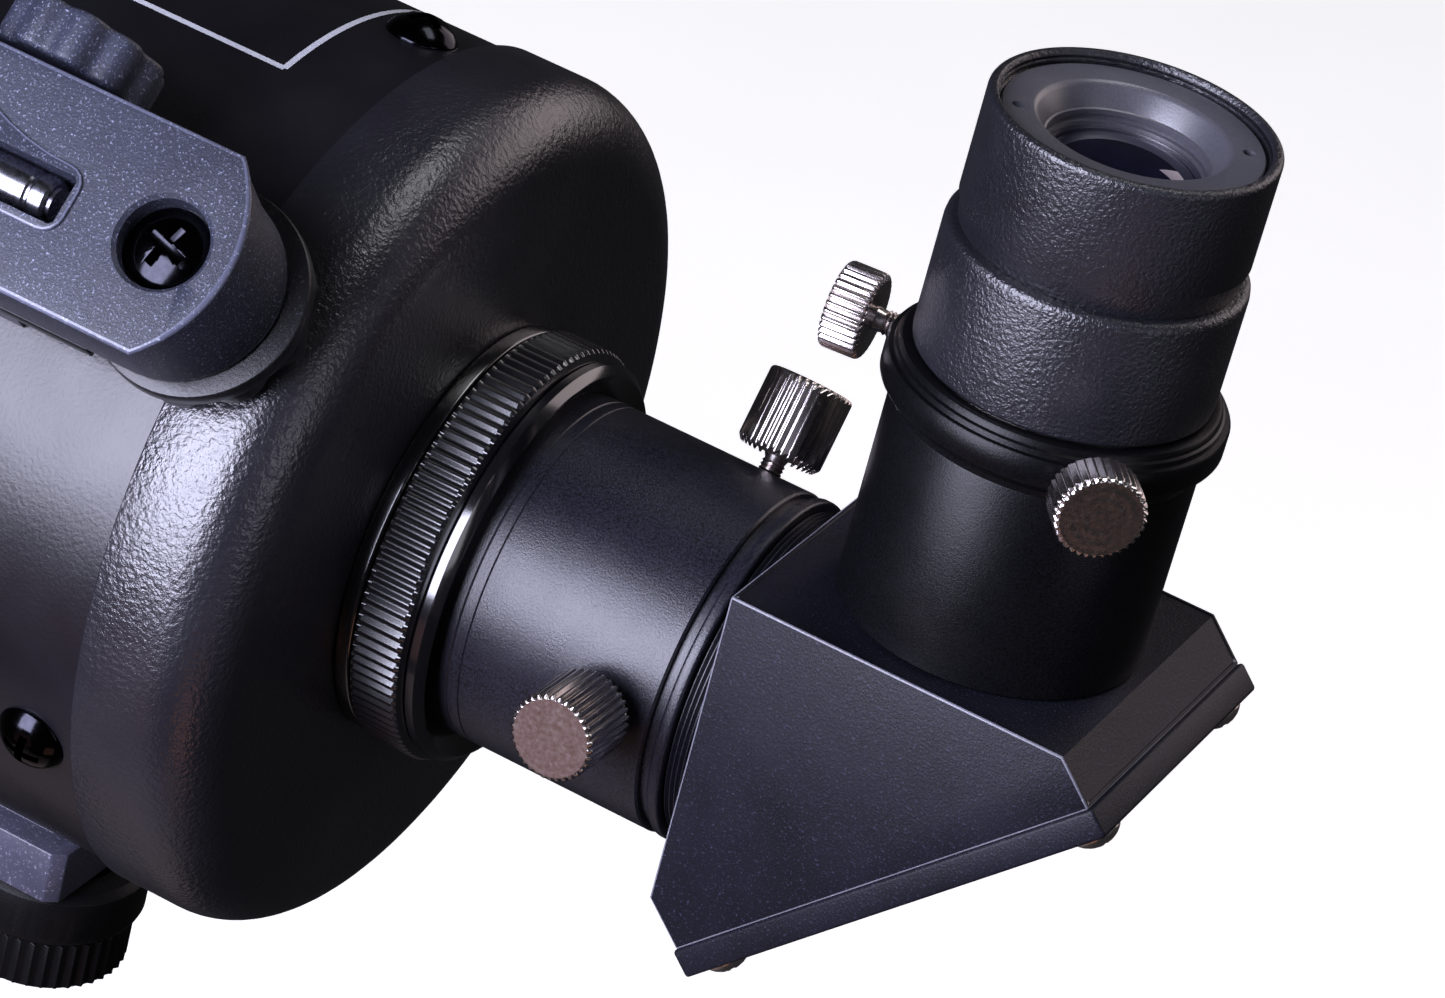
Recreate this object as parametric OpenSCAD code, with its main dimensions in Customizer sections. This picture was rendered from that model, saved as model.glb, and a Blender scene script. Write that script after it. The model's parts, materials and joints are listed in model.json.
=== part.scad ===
// Short-tube refractor telescope on a tripod clamp knob: tube, helical focuser,
// right-angle prism diagonal, eyepiece and red-dot finder.
// Row frame: origin at the tripod socket in the knob's underside, +Z up,
// +X along the optical axis towards the eyepiece end.

/* [Overall] */
// Distance from the tripod socket back to the eyepiece axis
eyepiece_reach = 111.5; // [108:0.5:160]

/* [Tube] */
// How far the tube's outside stands out from the edge of the lens
tube_margin = 3.6; // [3.4:0.1:6]
// Wall of the main tube
tube_wall = 1.6; // [1.2:0.1:2.4]
// Length of the main tube
tube_length = 330; // [270:5:420]
// Distance from the eyepiece axis forward to the rear end of the tube
tube_rear = 84.5; // [84.5:0.5:110]

/* [Rear cell] */
// How much wider the rear cell is than the tube
cell_step = 1.8; // [0.6:0.2:4]
// Depth of the rear cell behind the tube
cell_depth = 17; // [14:0.5:24]
// Rounding of the rear cell's outer edge
cell_round = 8.5; // [5:0.5:10]
// Wall of the rear cell
cell_wall = 3.2; // [2.4:0.2:5]
// Length of the spigots that plug into the tube at both ends
spigot_length = 14; // [10:1:22]
// Distance of the cell screws from the tube ends
cell_screw_inset = 6; // [5:0.5:9]

/* [Front cell and lens] */
// Diameter of the objective lens
lens_d = 102; // [84:1:123]
// Thickness of the crown lens at its centre
crown_t = 13; // [9:0.5:16]
// Thickness of the flint lens at its centre
flint_t = 7; // [5:0.5:10]
// Radius of the outer and inner crown surfaces
lens_r = 330; // [280:10:520]
// How far the dew shield stands out from the tube
dew_step = 5.9; // [4.5:0.1:12]
// Length of the dew shield
dew_length = 92; // [70:2:130]
// Wall of the dew shield
dew_wall = 2; // [1.4:0.1:3]

/* [Focuser] */
// Outer diameter of the drawtube barrel
barrel_d = 44.2; // [40:0.2:54]
// Bore of the diagonal socket in the barrel
socket_d = 31.9; // [31.8:0.05:32.4]
// How far the threaded end of the barrel lies below its surface
thread_drop = 1.1; // [0.8:0.1:1.4]
// How far the ribs of the focus ring stand out from its sleeve
ring_step = 2.95; // [2:0.05:6]
// Width of the focus ring
ring_w = 7; // [5:0.5:12]
// Number of ribs on the focus ring
ring_ribs = 114; // [60:2:140]
// Radial clearance of sliding and turning fits
fit_gap = 0.05; // [0.03:0.01:0.08]

/* [Diagonal] */
// Width of the diagonal housing across the optical axis
diag_w = 43; // [40:0.5:52]
// Height of the housing's top face above the optical axis
diag_top = 21.6; // [20.5:0.2:26]
// Distance from the eyepiece axis forward to the housing's front face
diag_front = 23; // [22:0.5:28]
// Leg of the prism
prism_leg = 27; // [22:0.5:32.5]
// Thickness of the cover plate on the slanted side
cover_t = 3.6; // [2.5:0.1:5]

/* [Eyepiece holder] */
// Outer diameter of the eyepiece holder tube
holder_d = 36.2; // [35:0.2:40]
// Height of the collar's lower edge above the housing
collar_rise = 26.6; // [20:0.5:36]
// Outer diameter of the collar
collar_d = 40.4; // [39:0.2:48]
// Height of the collar
collar_h = 6.2; // [5:0.2:9]

/* [Eyepiece] */
// Outer diameter of the eyepiece's lower body
eye_low_d = 35; // [33:0.2:42]
// Outer diameter of the eyepiece's upper body
eye_top_d = 33.4; // [31:0.2:36]
// Height of the lower body
eye_low_h = 15.6; // [12:0.2:22]
// Height of the upper body
eye_top_h = 16; // [12:0.2:24]
// Nominal outer diameter of the eyepiece and diagonal barrels
barrel_125 = 31.7; // [31.6:0.02:31.75]

/* [Thumbscrews] */
// Diameter over the ribs of the thumbscrew heads
head_d = 10.6; // [8:0.2:12.8]
// Length of the heads on the focuser barrel
barrel_head_l = 9.4; // [6:0.2:12]
// Length of the heads on the eyepiece holder
holder_head_l = 5.2; // [4:0.2:8]
// Diameter of the thumbscrew stems
stem_d = 3; // [2.5:0.1:4]

/* [Finder] */
// Angle of the finder above the horizontal on the near side
finder_angle = 43; // [35:1:60]
// Height of the finder's top face above the tube surface
finder_rise = 21.9; // [20:0.5:26]
// Width of the finder's top face
finder_w = 25.4; // [24:0.2:30]
// Distance of the altitude screw in front of the eyepiece axis
finder_screw_x = 84.2; // [80:0.2:90]
// Length of the finder body
finder_length = 96; // [90:1:120]

/* [Foot and clamp knob] */
// Width of the foot plate
foot_w = 26; // [22:1:32]
// Length of the foot plate
foot_length = 120; // [90:2:180]
// Thickness of the foot plate
foot_t = 7.5; // [6:0.5:9]
// How far the foot reaches below the tube
foot_drop = 15.1; // [14:0.1:15.1]
// Outer diameter of the clamp knob
knob_d = 25.4; // [24:0.2:32]
// Height of the clamp knob
knob_h = 16; // [14:0.1:16]
// Radius of the tapped tripod sockets
socket_r = 2.55; // [2.5:0.05:4.5]

/* [Hidden] */
$fn = 96;
soft_fn = 32;

tube_r = lens_d / 2 + tube_margin;
tube_in_r = tube_r - tube_wall;
cell_r = tube_r + cell_step / 2;
cell_front = -tube_rear;
cell_back = cell_front + cell_depth;
spigot_r = tube_in_r - 0.1;
spigot_in_r = spigot_r - cell_wall;
tube_front = cell_front - tube_length;
cell_screw_angles = [80, 200, 320];
cell_screw_r = 1.5;
cell_screw_head_r = 4.4;
cell_screw_head_h = 1.9;

// Focuser stations along the optical axis, measured from the eyepiece axis
barrel_r = barrel_d / 2;
thread_r = barrel_r - thread_drop;
thread_len = 2.6;
lip_w = 1.5;
groove_w = 1.3;
groove_depth = 0.9;
seat_gap = 0.1;
thread_end = -diag_front - seat_gap;
lip_end = thread_end - thread_len;
groove_end = lip_end - lip_w;
barrel_end = groove_end - groove_w;
flange_w = 2.2;
end_play = 0.15;
ring_front = cell_back + flange_w + end_play;
ring_back = ring_front + ring_w;
step_front = ring_back + end_play;
step_w = 2.3;
step_back = step_front + step_w;
sleeve_in_r = barrel_r + fit_gap;
sleeve_wall = 1.9;
sleeve_r = sleeve_in_r + sleeve_wall;
ring_r = sleeve_r + ring_step;
step_r = ring_r - 1;
flange_r = ring_r - 0.5;
sleeve_inner = 18;
sleeve_front = cell_back - sleeve_inner;
nut_w = 4;
nut_r = sleeve_r + 4;
rib_depth = 0.5;
rib_inset = 0.5;
draw_front = sleeve_front + 2;
draw_step = 26.5;
draw_clear_r = barrel_r - 2.4;
key_w = 3;
key_h = 1.4;
key_seat = 1.9;

// Thumbscrews on the focuser barrel
barrel_screw_x = barrel_end - 6.4;
barrel_screw_angles = [177, 57];
barrel_neck = 2.4;
barrel_125_r = barrel_125 / 2;
stem_r = stem_d / 2;
tip_gap = 0.12;
knurl_count = 34;
knurl_depth = 0.45;
face_chamfer = 0.5;

// Diagonal outline in the X-Z plane
cover_step = 0.6;
wall = 2.4;
nose_len = 26;
nose_wall = 1.2;
cover_screw_inset = 3.7;
cover_screw_r = 1.25;
cover_head_r = 2.9;
cover_head_h = 1.5;
half_w = diag_w / 2;
slant = sqrt(2);
// The slanted faces satisfy z = x - level
plate_in_level = 7.3;
// The chamfers at both ends of the slanted side satisfy x + z = corner_high or corner_low
corner_high = 2 * diag_top - 2;
corner_low = -diag_front - 20.4;
slant_in = [(corner_high + plate_in_level) / 2, (corner_high - plate_in_level) / 2];
slant_front = [(corner_low + plate_in_level) / 2, (corner_low - plate_in_level) / 2];

// Eyepiece holder and eyepiece heights above the optical axis
holder_r = holder_d / 2;
holder_in_r = barrel_125_r + fit_gap;
holder_spigot_r = holder_r - 1.1;
collar_low = diag_top + collar_rise;
collar_top = collar_low + collar_h;
collar_r = collar_d / 2;
screw_z = collar_low + collar_h / 2;
holder_screw_angles = [306, 186];
holder_neck = 2.2;
eye_base = collar_top + 0.1;
eye_step = eye_base + eye_low_h;
eye_top = eye_step + eye_top_h;
eye_low_r = eye_low_d / 2;
eye_top_r = eye_top_d / 2;
eye_ring_r = 14.8;
eye_bore_r = 9.8;
eye_ring_drop = 1.3;
eye_ring_t = 2;
eye_barrel_len = 27;
eye_wall = 1.3;
spanner_r = 0.75;
spanner_at = 13;
spanner_angles = [28, 208];
ring_tube_l = 5.5;
lens_dome_r = 24;

// Finder frame: x along the tube, y across, z radially out from the optical axis
finder_tilt = 90 - finder_angle;
finder_top = tube_r + finder_rise;
finder_back = -finder_screw_x + 8.6;
finder_front = finder_back - finder_length;
finder_half = finder_w / 2;
finder_bore_r = 2.05;
pivot_r = 2;
wheel_r = 11.9;
wheel_t = 3;
wheel_low = cell_r + 0.7;
wheel_lobes = 9;
pad_top = wheel_low + wheel_t + 0.3;
cradle_t = 2.4;
cradle_top = pad_top + 0.1 + cradle_t;
shell_low = cradle_top + 0.35;
shell_low_r = 13.2;
window_back = finder_back - 20.2;
window_len = 44;
emitter_r = 2.8;
emitter_drop = 3.1;
window_half = emitter_r + 0.25;
window_shift = -0.7;
window_depth = emitter_drop + emitter_r + 0.2;
counterbore_r = 5.35;
counterbore_depth = 3;
foot_pad_back = -finder_screw_x - 20;
foot_pad_len = 44;
foot_pad_half = 11;
finder_screw_r = 1.6;
finder_screw_xs = [foot_pad_back - 10, foot_pad_back - foot_pad_len + 8];
pivot_x = foot_pad_back - 22;
tongue_half = 4;
tongue_l = 6.5;
tilt_pin_r = 1.1;
knob_side_r = 9.6;
knob_side_x = -finder_screw_x - 25;
knob_side_z = finder_top - knob_side_r - 1;
switch_x = window_back - window_len - 8;
switch_z = finder_top - 8;
shaft_r = 1.6;
side_gap = 1.2;
cell_x = finder_front + 20;
hoop_x = finder_front + 8;
hoop_r = 17;
hoop_bore = 14;
hoop_w = 8;

// Foot and knob heights below the optical axis
foot_low = -(tube_r + foot_drop);
foot_mid = foot_low + foot_t;
foot_back = -eyepiece_reach + 8;
neck_half = 9;
knob_gap = 0.3;
knob_top = foot_low - knob_gap;
axis_height = knob_h - knob_top;
knob_r = knob_d / 2;
knob_ribs = 40;
knob_rib_r = knob_r - 1;
knob_grip_h = 6.6;
knob_dish_r = 8.6;
stud_r = 3.1;
stud_seat = 5;
socket_depth = 9;
spare_socket_at = 70;
foot_screw_xs = [foot_back - 28, foot_back - foot_length + 20];
foot_screw_r = 2;

// ---- shared shapes -------------------------------------------------------

// Moves a piece drawn round the optical axis into the row frame
module scope() {
    translate([eyepiece_reach, 0, axis_height]) children();
}

// Turned piece about the optical axis, from [x, radius] points
module turned(points) {
    rotate([0, 90, 0]) rotate_extrude() polygon([for (p = points) [p[1], p[0]]]);
}

// Turned piece about the eyepiece axis, from [radius, z] points
module lathe(points) {
    rotate_extrude() polygon(points);
}

// Cylinder along the optical axis from x0 to x1
module rod(x0, x1, r) {
    translate([x0, 0, 0]) rotate([0, 90, 0]) cylinder(h = x1 - x0, r = r);
}

// Radial placement about the optical axis: angle 0 is +Y, 90 is up
module radial(x, angle) {
    translate([x, 0, 0]) rotate([angle - 90, 0, 0]) children();
}

// Radial placement about the eyepiece axis: angle 0 is +X
module spoke(z, angle) {
    translate([0, 0, z]) rotate([0, 0, angle]) rotate([0, 90, 0]) children();
}

// Outline with straight teeth, r at the tips
module toothed(r, teeth, depth) {
    polygon([for (i = [0 : 2 * teeth - 1])
        let (a = 180 * i / teeth, q = i % 2 == 0 ? r : r - depth)
        [q * cos(a), q * sin(a)]]);
}

// Outline with soft lobes, r at the tips
module lobed(r, lobes, depth) {
    steps = lobes * 12;
    polygon([for (i = [0 : steps - 1])
        let (a = 360 * i / steps, q = r - depth * (1 - cos(lobes * a)) / 2)
        [q * cos(a), q * sin(a)]]);
}

// Thumbscrew along +Z: stem from stem_low, ribbed head from head_low
module thumbscrew(stem_low, head_low, head_l) {
    union() {
        translate([0, 0, stem_low]) cylinder(h = head_low - stem_low + 1, r = stem_r);
        translate([0, 0, head_low + face_chamfer])
            linear_extrude(head_l - 2 * face_chamfer) toothed(head_d / 2, knurl_count, knurl_depth);
        translate([0, 0, head_low]) cylinder(h = head_l, r = head_d / 2 - knurl_depth - 0.1);
    }
}

// Pan-head screw along +Z with its head above z = 0 and a cross recess
module pan_screw(shank_r, shank_l, head_r, head_h) {
    slot = head_r * 0.22;
    difference() {
        union() {
            translate([0, 0, -shank_l]) cylinder(h = shank_l + 0.1, r = shank_r);
            lathe([[0, 0], [head_r, 0], [head_r, head_h * 0.45], [head_r * 0.86, head_h * 0.8],
                   [head_r * 0.6, head_h], [0, head_h]]);
        }
        for (turn = [0, 90]) rotate([0, 0, turn])
            translate([-head_r * 0.5, -slot / 2, head_h * 0.4]) cube([head_r, slot, head_h]);
    }
}

// ---- clamp knob and foot ---------------------------------------------------

module clamp_knob() {
    color("#26262a") scope() difference() {
        union() {
            translate([-eyepiece_reach, 0, -axis_height]) {
                lathe([[0, 0], [knob_rib_r - 1.6, 0], [knob_rib_r - 0.5, 1],
                       [knob_rib_r - 0.5, knob_grip_h + 1], [knob_r - 0.4, knob_grip_h + 2],
                       [knob_r, knob_grip_h + 3],
                       [knob_r, knob_h - 1], [knob_r - 1, knob_h], [knob_dish_r, knob_h],
                       [knob_dish_r, knob_h - 2], [0, knob_h - 2]]);
                translate([0, 0, 1]) linear_extrude(knob_grip_h) toothed(knob_rib_r, knob_ribs, 0.6);
            }
        }
        translate([-eyepiece_reach, 0, -axis_height - 1])
            cylinder(h = socket_depth + 1, r = socket_r);
        translate([-eyepiece_reach, 0, knob_top - stud_seat]) cylinder(h = stud_seat + 1, r = stud_r);
    }
}

module knob_stud() {
    color("#b8b8bc") scope() translate([-eyepiece_reach, 0, knob_top - stud_seat])
        cylinder(h = stud_seat + foot_low - knob_top + foot_t, r = stud_r);
}

module foot_plan(half, front, back, z0, h, r) {
    translate([0, 0, z0]) linear_extrude(h) polygon([
        [back, -half + r], [back, half - r], [back - r, half], [front + r, half],
        [front, half - r], [front, -half + r], [front + r, -half], [back - r, -half]]);
}

module foot_block() {
    front = foot_back - foot_length;
    color("#2b2b2f") scope() difference() {
        union() {
            foot_plan(foot_w / 2, front, foot_back, foot_low, foot_t, 1.5);
            foot_plan(neck_half, front + 4, foot_back - 3, foot_mid, foot_drop - foot_t + 2, 1);
        }
        rod(front - 1, foot_back + 1, tube_r);
        translate([-eyepiece_reach, 0, foot_low - 1])
            cylinder(h = foot_t + 2, r = stud_r + fit_gap);
        translate([-eyepiece_reach - spare_socket_at, 0, foot_low - 1])
            cylinder(h = socket_depth + 1, r = socket_r);
        for (x = foot_screw_xs) translate([x, 0, foot_mid]) cylinder(h = 20, r = foot_screw_r);
    }
}

module foot_screws() {
    color("#8c8c90") scope() for (x = foot_screw_xs)
        translate([x, 0, -tube_in_r + 0.15])
            pan_screw(foot_screw_r - fit_gap, 6, 3.6, 2.2);
}

// ---- tube and cells --------------------------------------------------------

module cell_screw_holes(x, r) {
    for (a = cell_screw_angles) radial(x, a)
        translate([0, 0, tube_in_r - cell_wall - 2]) cylinder(h = cell_wall + 8, r = r);
}

module cell_screw_set(x) {
    for (a = cell_screw_angles) radial(x, a) translate([0, 0, tube_r])
        pan_screw(cell_screw_r - fit_gap, tube_wall + cell_wall, cell_screw_head_r, cell_screw_head_h);
}

rear_screw_x = cell_front - cell_screw_inset;
front_screw_x = tube_front + cell_screw_inset + 2.2;

module main_tube() {
    color("#1d1d21") scope() difference() {
        rod(tube_front, cell_front, tube_r);
        rod(tube_front - 1, cell_front + 1, tube_in_r);
        cell_screw_holes(rear_screw_x, cell_screw_r);
        cell_screw_holes(front_screw_x, cell_screw_r);
        for (x = foot_screw_xs) translate([x, 0, -tube_r - 2]) cylinder(h = 6, r = foot_screw_r);
        for (x = finder_screw_xs) rotate([finder_tilt, 0, 0])
            translate([x, 0, tube_in_r - 2]) cylinder(h = 6, r = finder_screw_r);
    }
}

module rear_cell() {
    arc = [for (i = [0 : 12]) let (a = 90 * i / 12)
        [cell_back - cell_round + cell_round * sin(a), cell_r - cell_round + cell_round * cos(a)]];
    color("#2c2c30") scope() difference() {
        turned(concat([[cell_front, spigot_in_r], [cell_front - spigot_length, spigot_in_r],
                [cell_front - spigot_length, spigot_r], [cell_front, spigot_r],
                [cell_front, cell_r]], arc,
               [[cell_back, sleeve_r], [cell_back - cell_wall - 1, sleeve_r],
                [cell_back - cell_wall - 1, spigot_in_r - cell_round],
                [cell_back - cell_wall - 1 - cell_round, spigot_in_r]]));
        cell_screw_holes(rear_screw_x, cell_screw_r);
    }
}

module rear_cell_screws() {
    color("#17171a") scope() cell_screw_set(rear_screw_x);
}

// ---- front cell, objective and dew shield -----------------------------------

lens_outer_r = lens_d / 2;
lens_back = tube_front - 4;
flint_front = lens_back - flint_t;
spacer_t = 1;
chord_gap = 0.02;
crown_back = flint_front - spacer_t;
crown_front = crown_back - crown_t;
lens_clear = 0.15;
dew_r = tube_r + dew_step;
front_cell_r = dew_r - dew_wall;
cell_end = crown_front - 4;
dew_back = tube_front + 2;
dew_front = dew_back - dew_length;

module front_cell() {
    color("#232327") scope() difference() {
        turned([[tube_front + spigot_length, spigot_in_r], [tube_front + spigot_length, spigot_r],
                [tube_front, spigot_r], [tube_front, front_cell_r], [cell_end, front_cell_r],
                [cell_end, lens_outer_r + lens_clear], [lens_back, lens_outer_r + lens_clear],
                [lens_back, lens_outer_r - 2.5], [tube_front, spigot_in_r]]);
        cell_screw_holes(front_screw_x, cell_screw_r);
    }
}

module front_cell_screws() {
    color("#17171a") scope() cell_screw_set(front_screw_x);
}

// Sag of a lens surface of radius r at height h
function sag(r, h) = r - sqrt(r * r - h * h);
// Points of a lens surface with its pole at x0, outwards and then inwards
function lens_arc(x0, r, sign, edge) = [for (i = [0 : 10]) let (h = edge * i / 10)
    [x0 - sign * sag(r, h), h]];
function lens_arc_down(x0, r, sign, edge) = [for (i = [10 : -1 : 0]) let (h = edge * i / 10)
    [x0 - sign * sag(r, h), h]];

module crown_lens() {
    color([0.75, 0.85, 0.95, 0.5]) scope()
        turned(concat(lens_arc(crown_front, lens_r, -1, lens_outer_r),
                      lens_arc_down(crown_back, lens_r, 1, lens_outer_r)));
}

module lens_spacer() {
    low = lens_outer_r - 1.6;
    color("#a0a0a4") scope() turned([
        [crown_back - sag(lens_r, low), low], [crown_back - sag(lens_r, lens_outer_r), lens_outer_r],
        [flint_front - sag(lens_r, lens_outer_r) - chord_gap, lens_outer_r],
        [flint_front - sag(lens_r, low) - chord_gap, low]]);
}

module flint_lens() {
    color([0.75, 0.9, 0.85, 0.5]) scope()
        turned(concat(lens_arc(flint_front, lens_r, 1, lens_outer_r),
                      [[lens_back, lens_outer_r], [lens_back, 0]]));
}

module lens_retainer() {
    low = lens_outer_r - 2;
    start = crown_front + sag(lens_r, low) - 0.02;
    color("#1d1d20") scope() turned([
        [start, low], [start, lens_outer_r], [cell_end, lens_outer_r], [cell_end, low]]);
}

module dew_shield() {
    color("#1d1d21") scope() difference() {
        rod(dew_front, dew_back, dew_r);
        rod(dew_front - 1, tube_front, dew_r - dew_wall);
        rod(tube_front - 1, dew_back + 1, tube_r + 0.1);
    }
}

module baffle(x, hole_r) {
    turned([[x, hole_r], [x, tube_in_r], [x + 8, tube_in_r], [x + 8, tube_in_r - 1],
            [x + 1, tube_in_r - 1], [x + 1, hole_r]]);
}

module front_baffle() {
    color("#1a1a1a") scope() baffle(tube_front + tube_length * 0.3, tube_in_r * 0.8);
}

module rear_baffle() {
    color("#1a1a1a") scope() baffle(foot_back - foot_length - 12, tube_in_r * 0.62);
}

// ---- focuser -----------------------------------------------------------------

module focus_sleeve() {
    color("#2a2a2d") scope() difference() {
        turned([[sleeve_front, sleeve_in_r], [sleeve_front, sleeve_r], [cell_back, sleeve_r],
                [cell_back, flange_r - 0.4], [cell_back + 0.4, flange_r],
                [cell_back + flange_w, flange_r], [cell_back + flange_w, sleeve_r],
                [step_front, sleeve_r], [step_front, sleeve_in_r]]);
        translate([sleeve_front - 1, -key_w / 2, -sleeve_r + 0.4])
            cube([sleeve_inner + 4, key_w, 3]);
    }
}

module sleeve_nut() {
    color("#57575b") scope() difference() {
        rod(cell_back - cell_wall - 1 - nut_w, cell_back - cell_wall - 1, nut_r);
        rod(cell_back - cell_wall - 2 - nut_w, cell_back - cell_wall, sleeve_r);
    }
}

module guide_key() {
    color("#c2a24e") scope() translate([draw_front + 1, -key_w / 2 + fit_gap, -barrel_r - key_h + 0.1])
        cube([6, key_w - 2 * fit_gap, key_h + key_seat - 0.1]);
}

module step_ring() {
    color("#303034") scope() turned([
        [step_front, sleeve_in_r], [step_front, step_r], [step_back - 0.9, step_r],
        [step_back, step_r - 0.9], [step_back, sleeve_r + 0.7],
        [step_back - 1.5, sleeve_in_r]]);
}

module focus_ring() {
    color("#2a2a2e") scope() difference() {
        union() {
            translate([ring_front + rib_inset, 0, 0]) rotate([0, 90, 0])
                linear_extrude(ring_w - 2 * rib_inset) toothed(ring_r, ring_ribs, rib_depth);
            rod(ring_front, ring_back, ring_r - rib_depth - 0.1);
        }
        rod(ring_front - 1, ring_back + 1, sleeve_r + fit_gap);
    }
}

module drawtube() {
    pitch = 0.65;
    ridge = 0.4;
    thread = [for (i = [0 : 3]) each [
        [lip_end + pitch * i, thread_r - ridge], [lip_end + pitch * (i + 0.5), thread_r]]];
    color("#34343a") scope() difference() {
        turned(concat([[draw_front, draw_clear_r], [draw_front, barrel_r],
                [barrel_end, barrel_r], [barrel_end, barrel_r - groove_depth],
                [groove_end, barrel_r - groove_depth], [groove_end, barrel_r - 0.3],
                [groove_end + 0.3, barrel_r], [lip_end - 0.3, barrel_r],
                [lip_end, barrel_r - 0.3]], thread,
               [[thread_end, thread_r - ridge], [thread_end, socket_d / 2],
                [thread_end - draw_step, socket_d / 2], [thread_end - draw_step, draw_clear_r]]));
        for (a = barrel_screw_angles) radial(barrel_screw_x, a)
            cylinder(h = barrel_r + 2, r = stem_r + fit_gap);
        translate([draw_front + 1, -key_w / 2 + fit_gap, -barrel_r - 0.1])
            cube([6, key_w - 2 * fit_gap, key_seat + 0.1]);
    }
}

module barrel_screw(i) {
    color("#c9c9cc") scope() radial(barrel_screw_x, barrel_screw_angles[i])
        thumbscrew(barrel_125_r + tip_gap, barrel_r + barrel_neck, barrel_head_l);
}

module barrel_screw_near() { barrel_screw(0); }

module barrel_screw_far() { barrel_screw(1); }

// ---- diagonal ------------------------------------------------------------------

module diagonal_nose() {
    color("#d0d0d3") scope() difference() {
        rod(-diag_front - nose_len + 1, -diag_front + wall, barrel_125_r);
        rod(-diag_front - nose_len, -diag_front + wall + 1, barrel_125_r - nose_wall);
    }
}

// Housing outline in the X-Z plane, with its walls moved inwards by t and its
// slanted side moved outwards by open
module diag_outline(t, open) {
    high = corner_high - t * slant;
    low = corner_low + t * slant;
    level = plate_in_level + open;
    side_extrude(t == 0 ? diag_w : prism_leg + 2) polygon([
        [-diag_front + t, diag_top - t], [high - diag_top + t, diag_top - t],
        [(high + level) / 2, (high - level) / 2], [(low + level) / 2, (low - level) / 2],
        [-diag_front + t, low + diag_front - t]]);
}

// Extrusion across the optical axis, w wide and centred
module side_extrude(w) {
    translate([0, w / 2, 0]) rotate([90, 0, 0]) linear_extrude(w) children();
}

module diagonal_housing() {
    color("#3a3a40") scope() difference() {
        diag_outline(0, 0);
        diag_outline(wall, 2);
        rod(-diag_front - 1, -diag_front + wall + 0.5, barrel_125_r);
        translate([0, 0, diag_top - wall - 0.5]) cylinder(h = wall + 1, r = holder_spigot_r);
        cover_places() cylinder(h = 9, r = cover_screw_r);
    }
}

// Places children at the four cover screws, +Z pointing out of the cover plate
module cover_places() {
    mid = (slant_in + slant_front) / 2;
    span = norm(slant_in - slant_front) / 2 - cover_screw_inset + 0.8;
    for (along = [-1, 1], side = [-1, 1])
        translate([mid[0] + along * span / slant, side * (half_w - 4.2), mid[1] + along * span / slant])
            rotate([0, 135, 0]) translate([0, 0, -6]) children();
}

module diagonal_prism() {
    leg = prism_leg / 2;
    color([0.8, 0.88, 0.92, 0.5]) scope() side_extrude(prism_leg)
        polygon([[-leg, -leg], [leg, leg], [-leg, leg]]);
}

module prism_pad() {
    leg = prism_leg / 2;
    gap = plate_in_level;
    color("#5a4a38") scope() side_extrude(prism_leg - 2) polygon([
        [-leg + 1, -leg + 1], [leg - 1, leg - 1],
        [leg - 1 + gap / 2, leg - 1 - gap / 2], [-leg + 1 + gap / 2, -leg + 1 - gap / 2]]);
}

module diagonal_cover() {
    dx = cover_t / slant;
    e = cover_step / slant;
    color("#3a3a40") scope() difference() {
        side_extrude(diag_w + 2 * cover_step - 0.4) polygon([
            slant_in + [e, e], slant_in + [e + dx, e - dx],
            slant_front + [-e + dx, -e - dx], slant_front + [-e, -e]]);
        cover_places() cylinder(h = 20, r = cover_screw_r + fit_gap);
    }
}

module cover_screws() {
    color("#d5d5d8") scope() cover_places() translate([0, 0, 6 + cover_t])
        pan_screw(cover_screw_r, 5.5 + cover_t, cover_head_r, cover_head_h);
}

// ---- eyepiece holder and eyepiece -------------------------------------------------

module eyepiece_holder() {
    color("#1e1e21") scope() difference() {
        lathe([[holder_in_r, diag_top - wall], [holder_in_r, collar_top],
               [collar_r - 1.8, collar_top], [collar_r - 1.5, collar_top - 0.7],
               [collar_r - 1.0, collar_top - 0.7], [collar_r, collar_top - 2.2],
               [collar_r, collar_low + 1.4], [holder_r, collar_low], [holder_r, diag_top],
               [holder_spigot_r, diag_top], [holder_spigot_r, diag_top - wall]]);
        for (a = holder_screw_angles) spoke(screw_z, a)
            cylinder(h = collar_r + 2, r = stem_r + fit_gap);
    }
}

module holder_screw(i) {
    color("#c9c9cc") scope() spoke(screw_z, holder_screw_angles[i])
        thumbscrew(barrel_125_r + tip_gap, collar_r + holder_neck, holder_head_l);
}

module holder_screw_near() { holder_screw(0); }

module holder_screw_front() { holder_screw(1); }

module eyepiece_barrel() {
    color("#d0d0d3") scope() difference() {
        translate([0, 0, eye_base - eye_barrel_len])
            cylinder(h = eye_barrel_len, r = barrel_125_r);
        translate([0, 0, eye_base - eye_barrel_len - 1])
            cylinder(h = eye_barrel_len + 2, r = barrel_125_r - eye_wall);
    }
}

module eyepiece_lower_body() {
    color("#222226") scope() lathe([
        [barrel_125_r - eye_wall, eye_base], [eye_low_r - 0.4, eye_base],
        [eye_low_r, eye_base + 0.4], [eye_low_r, eye_step - 1.2], [eye_low_r - 0.5, eye_step - 0.4],
        [eye_low_r - 0.9, eye_step], [barrel_125_r - eye_wall, eye_step]]);
}

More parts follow.
